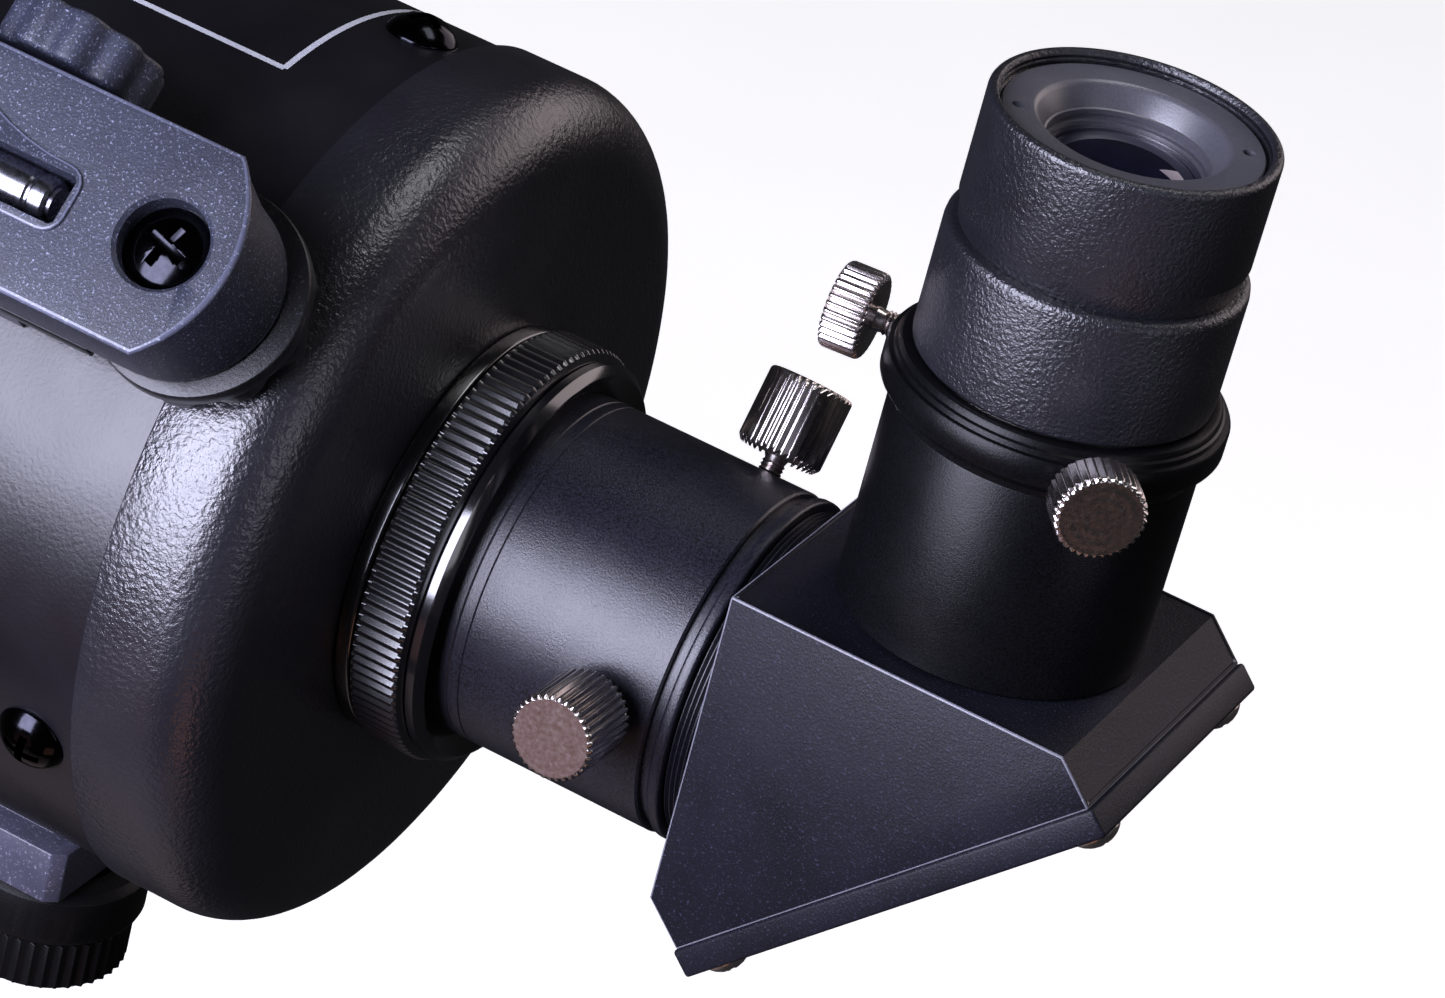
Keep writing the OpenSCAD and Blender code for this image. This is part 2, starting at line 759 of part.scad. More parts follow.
module eyepiece_upper_body() {
    color("#28282c") scope() lathe([
        [eye_ring_r - 1.4, eye_step], [eye_top_r - 0.9, eye_step],
        [eye_top_r, eye_step + 2.6], [eye_top_r, eye_top - 1.2],
        [eye_top_r - 0.4, eye_top - 0.3], [eye_top_r - 1, eye_top], [eye_ring_r + 0.25, eye_top],
        [eye_ring_r + 0.25, eye_top - eye_ring_drop - eye_ring_t],
        [eye_ring_r - 1.4, eye_top - eye_ring_drop - eye_ring_t]]);
}

module eyepiece_ring() {
    top = eye_top - eye_ring_drop;
    color("#3c3c40") scope() difference() {
        lathe([[eye_bore_r + 0.6, top], [eye_ring_r + 0.2, top],
               [eye_ring_r + 0.2, top - eye_ring_t],
               [eye_ring_r - 1.5, top - eye_ring_t], [eye_ring_r - 1.5, top - ring_tube_l],
               [eye_bore_r - 1.4, top - ring_tube_l], [eye_bore_r - 1.4, top - 3.4]]);
        for (a = spanner_angles) rotate([0, 0, a]) translate([spanner_at, 0, top - 1.4])
            cylinder(h = 2, r = spanner_r);
    }
}

module eye_lens() {
    top = eye_top - eye_ring_drop - ring_tube_l;
    r = eye_ring_r - 1.5;
    color([0.5, 0.45, 0.8, 0.6]) scope() lathe(concat(
        [[0, top - 5], [r, top - 5], [r, top - 0.1]],
        [for (i = [8 : -1 : 0]) let (h = (eye_bore_r - 1.6) * i / 8)
            [h, top + 1.4 - sag(lens_dome_r, h)]]));
}

module field_lens() {
    top = eye_base + 4;
    color([0.7, 0.8, 0.9, 0.6]) scope() lathe([
        [0, top - 4], [barrel_125_r - eye_wall, top - 4], [barrel_125_r - eye_wall, top - 1],
        [8, top - 0.2], [0, top]]);
}

module field_stop() {
    z = eye_base - 9;
    color("#1a1a1a") scope() lathe([
        [9, z], [barrel_125_r - eye_wall, z], [barrel_125_r - eye_wall, z + 3],
        [barrel_125_r - eye_wall - 1, z + 3], [barrel_125_r - eye_wall - 1, z + 0.8], [9, z + 0.8]]);
}

// ---- red-dot finder -------------------------------------------------------------------

module finder() {
    scope() rotate([finder_tilt, 0, 0]) children();
}

module finder_foot() {
    color("#6d6f75") finder() difference() {
        translate([foot_pad_back - foot_pad_len, -foot_pad_half, tube_r - 3])
            cube([foot_pad_len, 2 * foot_pad_half, pad_top - tube_r + 3]);
        rod(foot_pad_back - foot_pad_len - 1, foot_pad_back + 1, tube_r);
        for (x = finder_screw_xs) translate([x, 0, tube_r - 4]) cylinder(h = 10, r = finder_screw_r);
        translate([pivot_x, 0, tube_r - 4]) cylinder(h = 10, r = pivot_r + fit_gap);
    }
}

module finder_foot_screws() {
    color("#8c8c90") finder() for (x = finder_screw_xs)
        translate([x, 0, tube_in_r + 0.2])
            cylinder(h = pad_top - tube_in_r - 1, r = finder_screw_r - fit_gap);
}

module finder_pivot() {
    color("#9c9ca0") finder() translate([pivot_x, 0, tube_r + 1])
        cylinder(h = cradle_top - tube_r - 1, r = pivot_r);
}

module finder_cradle() {
    back = -finder_screw_x - 8;
    color("#4a4c52") finder() difference() {
        union() {
            translate([finder_front + 2, -finder_half + 1, pad_top + 0.1])
                cube([back - finder_front - 2, finder_w - 2, cradle_t]);
            translate([-finder_screw_x, 0, pad_top + 0.1]) cylinder(h = cradle_t, r = finder_half);
            translate([finder_front + 2, -tongue_half, pad_top + 0.1])
                cube([tongue_l, 2 * tongue_half, cradle_t + 7]);
        }
        translate([-finder_screw_x, 0, pad_top - 1]) cylinder(h = 8, r = finder_bore_r + 0.6);
        translate([pivot_x, 0, pad_top - 1]) cylinder(h = 8, r = pivot_r);
        tilt_pin_place() cylinder(h = 30, r = tilt_pin_r + fit_gap, center = true);
    }
}

// Axis of the tilt pin across the front of the finder
module tilt_pin_place() {
    translate([finder_front + 2 + tongue_l / 2, 0, cradle_top + 3.4]) rotate([90, 0, 0]) children();
}

module tilt_pin() {
    color("#9c9ca0") finder() tilt_pin_place() cylinder(h = finder_w - 3, r = tilt_pin_r, center = true);
}

module finder_plan(z0, h, half, back, round_r) {
    translate([0, 0, z0]) linear_extrude(h) intersection() {
        translate([back - finder_length, -half]) square([finder_length, 2 * half]);
        union() {
            translate([back - round_r, 0]) circle(r = round_r);
            translate([back - finder_length, -half]) square([finder_length - round_r, 2 * half]);
        }
    }
}

module finder_shell() {
    low_back = -finder_screw_x + shell_low_r;
    color("#767a84") finder() difference() {
        hull() {
            finder_plan(finder_top - 1.2, 1.2, finder_half, finder_back, 18.5, $fn = soft_fn);
            finder_plan(shell_low, 1, shell_low_r, low_back, shell_low_r, $fn = soft_fn);
        }
        translate([window_back - window_len, window_shift - window_half, finder_top - window_depth])
            cube([window_len, 2 * window_half, window_depth + 1]);
        translate([-finder_screw_x, 0, shell_low - 1]) cylinder(h = 30, r = finder_bore_r);
        translate([-finder_screw_x, 0, finder_top - counterbore_depth])
            cylinder(h = counterbore_depth + 1, r = counterbore_r);
        translate([cell_x - 10, -8.5, shell_low - 1]) cube([20, 17, 8]);
        translate([finder_front - 1, -tongue_half - 0.4, shell_low - 1])
            cube([tongue_l + 4, 2 * tongue_half + 0.8, cradle_top + 8.2 - shell_low + 1]);
        tilt_pin_place() cylinder(h = 30, r = tilt_pin_r, center = true);
        for (p = [[knob_side_x, knob_side_z], [switch_x, switch_z]])
            translate([p[0], finder_half - 5, p[1]]) rotate([-90, 0, 0])
                cylinder(h = 9, r = shaft_r + fit_gap);
    }
}

module altitude_screw() {
    color("#1a1a1d") finder() translate([-finder_screw_x, 0, finder_top - counterbore_depth])
        pan_screw(finder_bore_r, finder_top - counterbore_depth - wheel_low - 0.8, 4.6, 1.6);
}

module altitude_wheel() {
    color("#2a2a2d") finder() difference() {
        translate([-finder_screw_x, 0, wheel_low]) linear_extrude(wheel_t)
            lobed(wheel_r, wheel_lobes, 1.1);
        translate([-finder_screw_x, 0, wheel_low + 0.4]) cylinder(h = 10, r = finder_bore_r + 0.3);
    }
}

// Knob on a shaft that points across the finder
module side_knob(x, z, r, w, lobes, depth) {
    translate([x, finder_half - 4.5, z]) rotate([-90, 0, 0]) cylinder(h = 4.5 + side_gap + 1, r = shaft_r);
    translate([x, finder_half + side_gap, z]) rotate([-90, 0, 0])
        linear_extrude(w) lobed(r, lobes, depth);
}

module azimuth_knob() {
    color("#6d7078") finder() side_knob(knob_side_x, knob_side_z, knob_side_r, 6.4, 10, 1);
}

module switch_knob() {
    color("#3a3c42") finder() side_knob(switch_x, switch_z, 6.4, 5, 12, 0.6);
}

module finder_emitter() {
    color("#9a9ca2") finder() union() {
        translate([0, window_shift, finder_top - emitter_drop])
            rod(window_back - window_len + 3, window_back - 3, emitter_r - 0.6);
        translate([0, window_shift, finder_top - emitter_drop])
            rod(window_back - window_len + 3, window_back - 6, emitter_r);
    }
}

module finder_cell_cover() {
    color("#55575e") finder() translate([cell_x - 9.8, -8.3, shell_low]) cube([19.6, 16.6, 1.6]);
}

module coin_cell() {
    color("#b5b7bb") finder() translate([cell_x, 0, shell_low + 2]) cylinder(h = 3.2, r = 8);
}

module finder_hoop() {
    color("#5d6068") finder() difference() {
        union() {
            translate([0, 0, finder_top + hoop_r]) rod(hoop_x - hoop_w, hoop_x, hoop_r);
            translate([hoop_x - hoop_w, -finder_half + 1, finder_top]) cube([hoop_w, finder_w - 2, 6]);
        }
        translate([0, 0, finder_top + hoop_r]) rod(hoop_x - hoop_w - 1, hoop_x + 1, hoop_bore);
    }
}

module finder_lens() {
    color([0.8, 0.5, 0.5, 0.5]) finder() translate([0, 0, finder_top + hoop_r])
        rod(hoop_x - 5, hoop_x - 3, hoop_bore);
}

clamp_knob();
knob_stud();
main_tube();
foot_block();
foot_screws();
rear_cell();
rear_cell_screws();
front_cell();
front_cell_screws();
crown_lens();
lens_spacer();
flint_lens();
lens_retainer();
dew_shield();
front_baffle();
rear_baffle();
focus_sleeve();
sleeve_nut();
guide_key();
step_ring();
focus_ring();
drawtube();
barrel_screw_near();
barrel_screw_far();
diagonal_nose();
diagonal_housing();
diagonal_prism();
prism_pad();
diagonal_cover();
cover_screws();
eyepiece_holder();
holder_screw_near();
holder_screw_front();
eyepiece_barrel();
eyepiece_lower_body();
eyepiece_upper_body();
eyepiece_ring();
eye_lens();
field_lens();
field_stop();
finder_foot();
finder_foot_screws();
finder_pivot();
finder_cradle();
tilt_pin();
finder_shell();
altitude_screw();
altitude_wheel();
azimuth_knob();
finder_emitter();
finder_cell_cover();
coin_cell();
finder_hoop();
finder_lens();
switch_knob();
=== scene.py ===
import json
import math

import bpy
from mathutils import Matrix, Vector


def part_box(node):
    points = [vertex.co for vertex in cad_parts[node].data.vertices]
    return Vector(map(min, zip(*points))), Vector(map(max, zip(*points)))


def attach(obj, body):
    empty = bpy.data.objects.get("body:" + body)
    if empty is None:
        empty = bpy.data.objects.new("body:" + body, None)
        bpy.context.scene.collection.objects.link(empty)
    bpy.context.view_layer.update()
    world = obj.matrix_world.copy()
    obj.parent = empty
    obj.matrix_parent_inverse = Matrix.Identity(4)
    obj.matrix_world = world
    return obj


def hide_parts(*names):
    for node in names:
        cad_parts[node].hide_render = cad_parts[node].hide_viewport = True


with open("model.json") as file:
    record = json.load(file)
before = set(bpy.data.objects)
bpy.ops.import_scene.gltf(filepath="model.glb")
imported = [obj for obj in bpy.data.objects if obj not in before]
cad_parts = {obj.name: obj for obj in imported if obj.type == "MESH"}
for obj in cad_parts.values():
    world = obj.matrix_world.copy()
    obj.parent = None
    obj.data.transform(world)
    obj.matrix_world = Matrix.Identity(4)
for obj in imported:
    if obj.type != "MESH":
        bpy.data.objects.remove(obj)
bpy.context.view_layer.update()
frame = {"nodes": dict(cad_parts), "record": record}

# --- Where the telescope stands -------------------------------------------------------
# The optical axis runs along X at the tube's height, and the eyepiece axis crosses
# it inside the diagonal. That crossing is the point every piece is placed from.


def box_middle(node):
    low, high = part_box(node)
    return (low + high) / 2


crossing = Vector((box_middle("eyepiece_barrel").x, 0, box_middle("main_tube").z))
mm = 0.001
along = Vector((1, 0, 0))
across = Vector((0, 1, 0))
up = Vector((0, 0, 1))


def clock(angle):
    """Direction out from the optical axis; 0 is the far side, 90 is up, 180 is the near side."""
    turn = math.radians(angle)
    return across * math.cos(turn) + up * math.sin(turn)


# --- Camera ---------------------------------------------------------------------------
# A long lens looks down on the focuser end from the near side and behind it, rolled
# so that the eyepiece leans to the right.
view_azimuth = math.radians(-20.85)
view_elevation = math.radians(29.45)
view_roll = math.radians(15.0)
camera_data = bpy.data.cameras.new("camera")
camera_data.sensor_width = 36
camera_data.lens = 137.9
camera_data.clip_start = 0.01
camera = bpy.data.objects.new("camera", camera_data)
bpy.context.scene.collection.objects.link(camera)
looking = Vector((math.sin(view_azimuth) * math.cos(view_elevation),
                  math.cos(view_azimuth) * math.cos(view_elevation), -math.sin(view_elevation)))
level = looking.cross(up).normalized()
right = level * math.cos(view_roll) + level.cross(looking) * math.sin(view_roll)
stand_off = 0.640
aim = crossing + Vector((-0.0336, -0.0041, 0.0222))
facing = Matrix((right, right.cross(looking), -looking)).transposed().to_4x4()
camera.matrix_world = Matrix.Translation(aim - looking * stand_off) @ facing
bpy.context.scene.camera = camera

# --- Floor and lights -----------------------------------------------------------------
# A pale studio floor below the tripod head, a big softbox beside the camera, weak fills
# below and to the right, one overhead and one behind for the rims. The floor is out of
# the reflections, so black metal stays black.


def linear(code, alpha=1.0):
    """A colour from its sRGB hex code, in linear light."""
    parts = [int(code[i:i + 2], 16) / 255 for i in (1, 3, 5)]
    return tuple(c / 12.92 if c <= 0.04045 else ((c + 0.055) / 1.055) ** 2.4 for c in parts) + (alpha,)


def add_node(tree, kind, inputs=None, links=None, **settings):
    """One shader node with its settings, its socket values and its incoming links."""
    made = tree.nodes.new(kind)
    for name, value in settings.items():
        setattr(made, name, value)
    for socket, value in (inputs or {}).items():
        made.inputs[socket].default_value = value
    for socket, (source, output) in (links or {}).items():
        tree.links.new(source.outputs[output], made.inputs[socket])
    return made


def empty_material(name):
    """A new material with a bare tree, its shader and its output joined."""
    made = bpy.data.materials.new(name)
    made.use_nodes = True
    tree = made.node_tree
    tree.nodes.clear()
    shader = add_node(tree, "ShaderNodeBsdfPrincipled")
    add_node(tree, "ShaderNodeOutputMaterial", links={"Surface": (shader, "BSDF")})
    return made, tree, shader


def join_maps(tree, shader, tint, gloss, relief=None):
    """The colour, the gloss and the relief go into the shader."""
    tree.links.new(tint, shader.inputs["Base Color"])
    tree.links.new(gloss.outputs["Result"], shader.inputs["Roughness"])
    if relief:
        tree.links.new(relief.outputs["Normal"], shader.inputs["Normal"])


def painted_floor():
    """Matt white board with a faint mottle."""
    made, tree, shader = empty_material("matt white board")
    place = add_node(tree, "ShaderNodeTexCoord")
    mottle = add_node(tree, "ShaderNodeTexNoise", {"Scale": 6.0, "Detail": 3.0},
                      {"Vector": (place, "Object")})
    tint = add_node(tree, "ShaderNodeValToRGB", links={"Fac": (mottle, "Fac")})
    tint.color_ramp.elements[0].color = linear("#f4f4f5")
    tint.color_ramp.elements[1].color = linear("#fbfbfb")
    tree.links.new(tint.outputs["Color"], shader.inputs["Base Color"])
    tree.links.new(tint.outputs["Color"], shader.inputs["Emission Color"])
    shader.inputs["Emission Strength"].default_value = 0.72
    shader.inputs["Roughness"].default_value = 0.9
    return made


bpy.ops.object.select_all(action="DESELECT")
bpy.ops.mesh.primitive_plane_add(size=14, location=(0, 0, -0.42))
floor = bpy.context.active_object
floor.name = "floor"
bpy.ops.object.transform_apply(location=True)
floor.data.materials.append(painted_floor())
floor.visible_glossy = False
floor.visible_diffuse = False


def softbox(name, direction, distance, width, height, power, colour):
    """Rectangular area light that faces the focuser."""
    data = bpy.data.lights.new(name, "AREA")
    data.shape = "RECTANGLE"
    data.size = width
    data.size_y = height
    data.energy = power
    data.color = linear(colour)[:3]
    lamp = bpy.data.objects.new(name, data)
    bpy.context.scene.collection.objects.link(lamp)
    away = Vector(direction).normalized()
    lamp.matrix_world = Matrix.Translation(crossing + along * -0.04 + away * distance) @ (
        away.to_track_quat("Z", "Y").to_matrix().to_4x4())


softbox("key", (-0.33, -0.90, 0.30), 1.1, 0.70, 0.90, 31, "#e3e4ff")
softbox("overhead", (0.15, 0.25, 1.0), 1.3, 0.7, 0.35, 3, "#fbfcff")
softbox("low_fill", (-0.31, -0.81, -0.49), 1.3, 0.9, 0.50, 0.30, "#ffb9b0")
softbox("far_side", (0.38, 0.84, 0.38), 1.4, 1.2, 0.8, 4.8, "#ffeef2")
softbox("bounce", (-0.2, -0.2, -0.95), 1.0, 0.9, 0.9, 0.6, "#f4dcdc")
softbox("eyepiece_end", (1.0, -0.35, 0.25), 1.3, 0.35, 0.8, 1.4, "#f6f2ff")
softbox("low_right", (0.55, -0.50, -0.67), 1.0, 0.35, 0.35, 0.26, "#ffb898")

world = bpy.data.worlds.new("studio")
world.use_nodes = True
world.node_tree.nodes["Background"].inputs["Color"].default_value = linear("#c9c9d2")
world.node_tree.nodes["Background"].inputs["Strength"].default_value = 0.035
bpy.context.scene.world = world
bpy.context.scene.view_settings.view_transform = "Standard"

# --- Main tube ------------------------------------------------------------------------
# Rolled aluminium tube, sprayed and baked satin black. It is drawn as a profile and
# spun, so that the long highlight stays even. The paint has a faint peel.


def grain(size_mm):
    """Scale of a noise or cell pattern whose features are size_mm across."""
    return 1 / (size_mm * mm)


def sprayed_enamel(name, colour, light, roughness, peel_mm, peel_depth, index=1.5):
    """Baked paint: broken reflections from its peel, and slightly uneven gloss."""
    made, tree, shader = empty_material(name)
    place = add_node(tree, "ShaderNodeTexCoord")
    peel = add_node(tree, "ShaderNodeTexNoise", {"Scale": grain(peel_mm), "Detail": 2.5, "Roughness": 0.6},
                    {"Vector": (place, "Object")})
    cloud = add_node(tree, "ShaderNodeTexNoise", {"Scale": grain(14), "Detail": 3.0},
                     {"Vector": (place, "Object")})
    tint = add_node(tree, "ShaderNodeValToRGB", links={"Fac": (cloud, "Fac")})
    tint.color_ramp.elements[0].color = linear(colour)
    tint.color_ramp.elements[1].color = linear(light)
    gloss = add_node(tree, "ShaderNodeMapRange",
                     {"From Min": 0.3, "From Max": 0.7, "To Min": roughness * 0.85,
                      "To Max": roughness * 1.2},
                     {"Value": (cloud, "Fac")})
    bump = add_node(tree, "ShaderNodeBump", {"Strength": 0.55, "Distance": peel_depth * mm},
                    {"Height": (peel, "Fac")})
    join_maps(tree, shader, tint.outputs["Color"], gloss, bump)
    shader.inputs["IOR"].default_value = index
    return made


def spun(name, profile, foot=None, axis=along, out=up, steps=128, crease=35, sweep=math.tau):
    """A turned piece: its profile of (station, radius) points in mm is drawn, then spun round its axis."""
    foot = crossing if foot is None else foot
    places = [foot + axis * (station * mm) + out * (radius * mm) for station, radius in profile]
    bpy.ops.object.select_all(action="DESELECT")
    bpy.ops.mesh.primitive_plane_add(size=mm, location=(0, 0, 0))
    piece = bpy.context.active_object
    piece.name = piece.data.name = name
    bpy.context.tool_settings.mesh_select_mode = (True, False, False)
    bpy.ops.object.mode_set(mode="EDIT")
    bpy.ops.mesh.merge(type="CENTER")
    bpy.ops.transform.translate(value=places[0])
    for here, there in zip(places, places[1:]):
        bpy.ops.mesh.extrude_vertices_move(TRANSFORM_OT_translate={"value": there - here})
    bpy.ops.mesh.select_all(action="SELECT")
    bpy.ops.mesh.spin(steps=steps, angle=sweep, center=foot, axis=axis)
    bpy.ops.mesh.select_all(action="SELECT")
    bpy.ops.mesh.remove_doubles(threshold=0.002 * mm)
    bpy.ops.mesh.normals_make_consistent(inside=False)
    bpy.ops.object.mode_set(mode="OBJECT")
    bpy.ops.object.shade_smooth_by_angle(angle=math.radians(crease))
    return piece


def arc(station, radius, size, start, end, count=8):
    """Points of an arc in a profile, centred on (station, radius); 0 points along the axis, 90 outwards."""
    turns = [math.radians(start + (end - start) * i / count) for i in range(count + 1)]
    return [(station + size * math.cos(t), radius + size * math.sin(t)) for t in turns]


def ends(node):
    """First and last station of a CAD node along the optical axis, in mm from the crossing."""
    low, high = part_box(node)
    return (low.x - crossing.x) / mm, (high.x - crossing.x) / mm


def reach(node):
    """Outer radius of a CAD node that is turned about the optical axis, in mm."""
    low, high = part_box(node)
    return (high.z - low.z) / 2 / mm


def finish_piece(piece, body, slot, material, *nodes):
    """The piece gets its material, rides on its body and stands for its CAD nodes."""
    piece.data.materials.append(material)
    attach(piece, body)
    if nodes:
        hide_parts(*nodes)


tube_front, tube_rear = ends("main_tube")
tube_r = 54.6
tube_wall = 1.6
tube_paint = sprayed_enamel("satin black baked enamel", "#121115", "#1a191f", 0.30, 0.55, 0.07)
tube_shell = spun("tube_shell", [
    (tube_front, tube_r - tube_wall), (tube_front, tube_r), (tube_rear, tube_r),
    (tube_rear, tube_r - tube_wall), (tube_front, tube_r - tube_wall)], steps=256)
finish_piece(tube_shell, "tube", "tube_paint", tube_paint, "main_tube")

# --- Rear cell ------------------------------------------------------------------------
# Die-cast end cap with a broad rolled edge, sprayed in a slightly pebbled satin black
# that breaks up the highlight on the edge. Three screws hold it in the tube.
cell_back = ends("rear_cell")[1]
cell_r = reach("rear_cell")
cell_round = 8.5
rim = tube_rear
cell_paint = sprayed_enamel("pebbled satin enamel on die-cast", "#1b1a20", "#25242b", 0.30, 0.7, 0.30, 1.8)
cell_cap = spun("cell_cap", [
    (rim, tube_r - 5), (rim, cell_r - 0.35), (rim + 0.1, cell_r - 0.1), (rim + 0.35, cell_r),
    (cell_back - cell_round - 3, cell_r)]
    + arc(cell_back - cell_round, cell_r - cell_round, cell_round, 90, 0, 16)
    + [(cell_back, 24.2), (cell_back - 4, 24.2), (cell_back - 4, 46), (rim, tube_r - 5)], steps=256)
finish_piece(cell_cap, "tube", "cell_paint", cell_paint, "rear_cell")

# --- Focuser: sleeve flange, ribbed ring and step ring --------------------------------
# Black anodised aluminium turnings. Flange and step ring are polished on the lathe; the
# focus ring between them has straight milled ribs all round.


def turned_anodised(name, colour, light, roughness, blast_mm, blast_depth, index=2.0):
    """Anodised aluminium: dark metal with a fine, slightly sparkling grain."""
    made, tree, shader = empty_material(name)
    place = add_node(tree, "ShaderNodeTexCoord")
    blast = add_node(tree, "ShaderNodeTexNoise", {"Scale": grain(blast_mm), "Detail": 3.0, "Roughness": 0.7},
                     {"Vector": (place, "Object")})
    cloud = add_node(tree, "ShaderNodeTexNoise", {"Scale": grain(9), "Detail": 2.0},
                     {"Vector": (place, "Object")})
    tint = add_node(tree, "ShaderNodeValToRGB", links={"Fac": (blast, "Fac")})
    tint.color_ramp.elements[0].position = 0.35
    tint.color_ramp.elements[0].color = linear(colour)
    tint.color_ramp.elements[1].position = 0.72
    tint.color_ramp.elements[1].color = linear(light)
    gloss = add_node(tree, "ShaderNodeMapRange",
                     {"From Min": 0.3, "From Max": 0.7, "To Min": roughness * 0.85,
                      "To Max": roughness * 1.15},
                     {"Value": (cloud, "Fac")})
    bump = add_node(tree, "ShaderNodeBump", {"Strength": 0.6, "Distance": blast_depth * mm},
                    {"Height": (blast, "Fac")})
    join_maps(tree, shader, tint.outputs["Color"], gloss, bump)
    shader.inputs["IOR"].default_value = index
    return made


polished_black = turned_anodised("polished black anodised aluminium", "#0c0c0e", "#141417", 0.14, 0.4, 0.004)
milled_black = turned_anodised("milled black anodised aluminium", "#0d0d10", "#18181c", 0.22, 0.3, 0.008)
sleeve_front = ends("focus_sleeve")[0]
sleeve_out = 24.0
sleeve_in = 22.15
flange_back = cell_back + 2.2
flange_r = 26.5
ring_front, ring_back = ends("focus_ring")
step_front, step_back = ends("step_ring")
step_r = reach("step_ring")
sleeve = spun("sleeve", [
    (sleeve_front, sleeve_in), (sleeve_front, sleeve_out), (cell_back, sleeve_out),
    (cell_back, flange_r - 0.4)]
    + arc(cell_back + 0.5, flange_r - 0.5, 0.5, 180, 90, 3)
    + arc(flange_back - 0.4, flange_r - 0.4, 0.4, 90, 0, 3)
    + [(flange_back, sleeve_out), (step_front, sleeve_out), (step_front, sleeve_in),
       (sleeve_front, sleeve_in)],
    steps=192)
finish_piece(sleeve, "tube", "black_anodised", polished_black, "focus_sleeve")

ring_ribs = 114
rib_cells = 6
ring_r = reach("focus_ring")
ring_profile = ([(ring_front, 24.1), (ring_front, ring_r - 1.0), (ring_front + 0.25, ring_r - 0.35)]
                + [(ring_front + 0.7, ring_r), (ring_back - 0.9, ring_r), (ring_back - 0.4, ring_r - 0.35)]
                + [(ring_back, ring_r - 1.2), (ring_back, 24.1), (ring_front, 24.1)])
focus_grip = spun("focus_grip", ring_profile, steps=ring_ribs * rib_cells, crease=25)


def mill_grooves(piece, foot, axis, out, count, outer, inner_limit, cut, share):
    """Grooves along a turned grip: the points in each groove's share of the pitch move towards the axis."""
    side = axis.cross(out)
    pitch = math.tau / count
    bpy.ops.object.select_all(action="DESELECT")
    piece.select_set(True)
    bpy.context.view_layer.objects.active = piece
    for vertex in piece.data.vertices:
        off = vertex.co - foot
        radius = math.hypot(off.dot(out), off.dot(side)) / mm
        phase = (math.atan2(off.dot(side), off.dot(out)) / pitch + 0.25) % 1
        vertex.select = radius > inner_limit and phase < share
    for item in list(piece.data.edges) + list(piece.data.polygons):
        item.select = False
    bpy.context.tool_settings.mesh_select_mode = (True, False, False)
    bpy.ops.object.mode_set(mode="EDIT")
    factor = (outer - cut) / outer
    size = [1 - (1 - factor) * (1 - abs(axis[i])) for i in range(3)]
    bpy.ops.transform.resize(value=size, center_override=foot)
    bpy.ops.object.mode_set(mode="OBJECT")


mill_grooves(focus_grip, crossing, along, up, ring_ribs, ring_r, ring_r - 0.2, 0.55, 0.42)
finish_piece(focus_grip, "focus_ring", "black_anodised", milled_black, "focus_ring")

step_lip = spun("step_lip", [
    (step_front, sleeve_in), (step_front, step_r - 0.3), (step_front + 0.3, step_r),
    (step_back - 1.0, step_r),
    (step_back - 0.1, step_r - 0.9), (step_back, step_r - 1.1), (step_back, sleeve_out + 0.9),
    (step_back - 0.2, sleeve_out + 0.6), (step_back - 1.5, sleeve_in), (step_front, sleeve_in)], steps=192)
finish_piece(step_lip, "tube", "black_anodised", polished_black, "step_ring")

# --- Drawtube -------------------------------------------------------------------------
# Bead-blasted, black anodised barrel that slides in the sleeve. It ends in a groove, a
# polished lip and the fine thread that takes a camera ring. The blasted grain is drawn
# coarser than real grit, so that it shows.
draw_front, draw_back = ends("drawtube")
draw_r = reach("drawtube")
thread_r = 21
socket_r = 15.95
groove_front = -28.4
groove_back = -27.1
lip_back = -25.6
thread_pitch = 0.62
thread = [point for i in range(4) for point in (
    (lip_back + thread_pitch * (i + 0.1), thread_r - 0.45), (lip_back + thread_pitch * (i + 0.5), thread_r),
    (lip_back + thread_pitch * (i + 0.65), thread_r))]
# The barrel's pale specks are partly the blasted grain's tone and partly painted sparkle: glints put into its
# colour.
blasted_black = turned_anodised("bead-blasted black anodised aluminium with painted sparkle", "#07070a", "#2c2c38",
                                0.30, 0.26, 0.08, 1.52)
seam = [(-54.6, draw_r), (-54.45, draw_r - 0.12), (-54.3, draw_r), (-53.0, draw_r),
        (-52.9, draw_r - 0.12), (-52.75, draw_r)]
barrel = spun("barrel", [
    (draw_front, draw_r - 2.4), (draw_front, draw_r)] + seam
    + [(groove_front - 0.25, draw_r), (groove_front, draw_r - 0.25),
       (groove_front + 0.05, draw_r - 0.9), (groove_back - 0.05, draw_r - 0.9), (groove_back, draw_r - 0.5)]
    + arc(groove_back + 0.35, draw_r - 0.4, 0.4, 180, 90, 3)
    + arc(lip_back - 0.35, draw_r - 0.4, 0.4, 90, 0, 3)
    + thread + [(draw_back, thread_r - 0.4), (draw_back, socket_r), (draw_back - 26.5, socket_r),
                (draw_back - 26.5, draw_r - 2.4), (draw_front, draw_r - 2.4)], steps=192)
finish_piece(barrel, "drawtube", "black_anodised", blasted_black, "drawtube")

# --- Thumbscrews ----------------------------------------------------------------------
# Brass screws, turned, straight-knurled and nickel plated. The flat end keeps the rings
# that the lathe tool left.


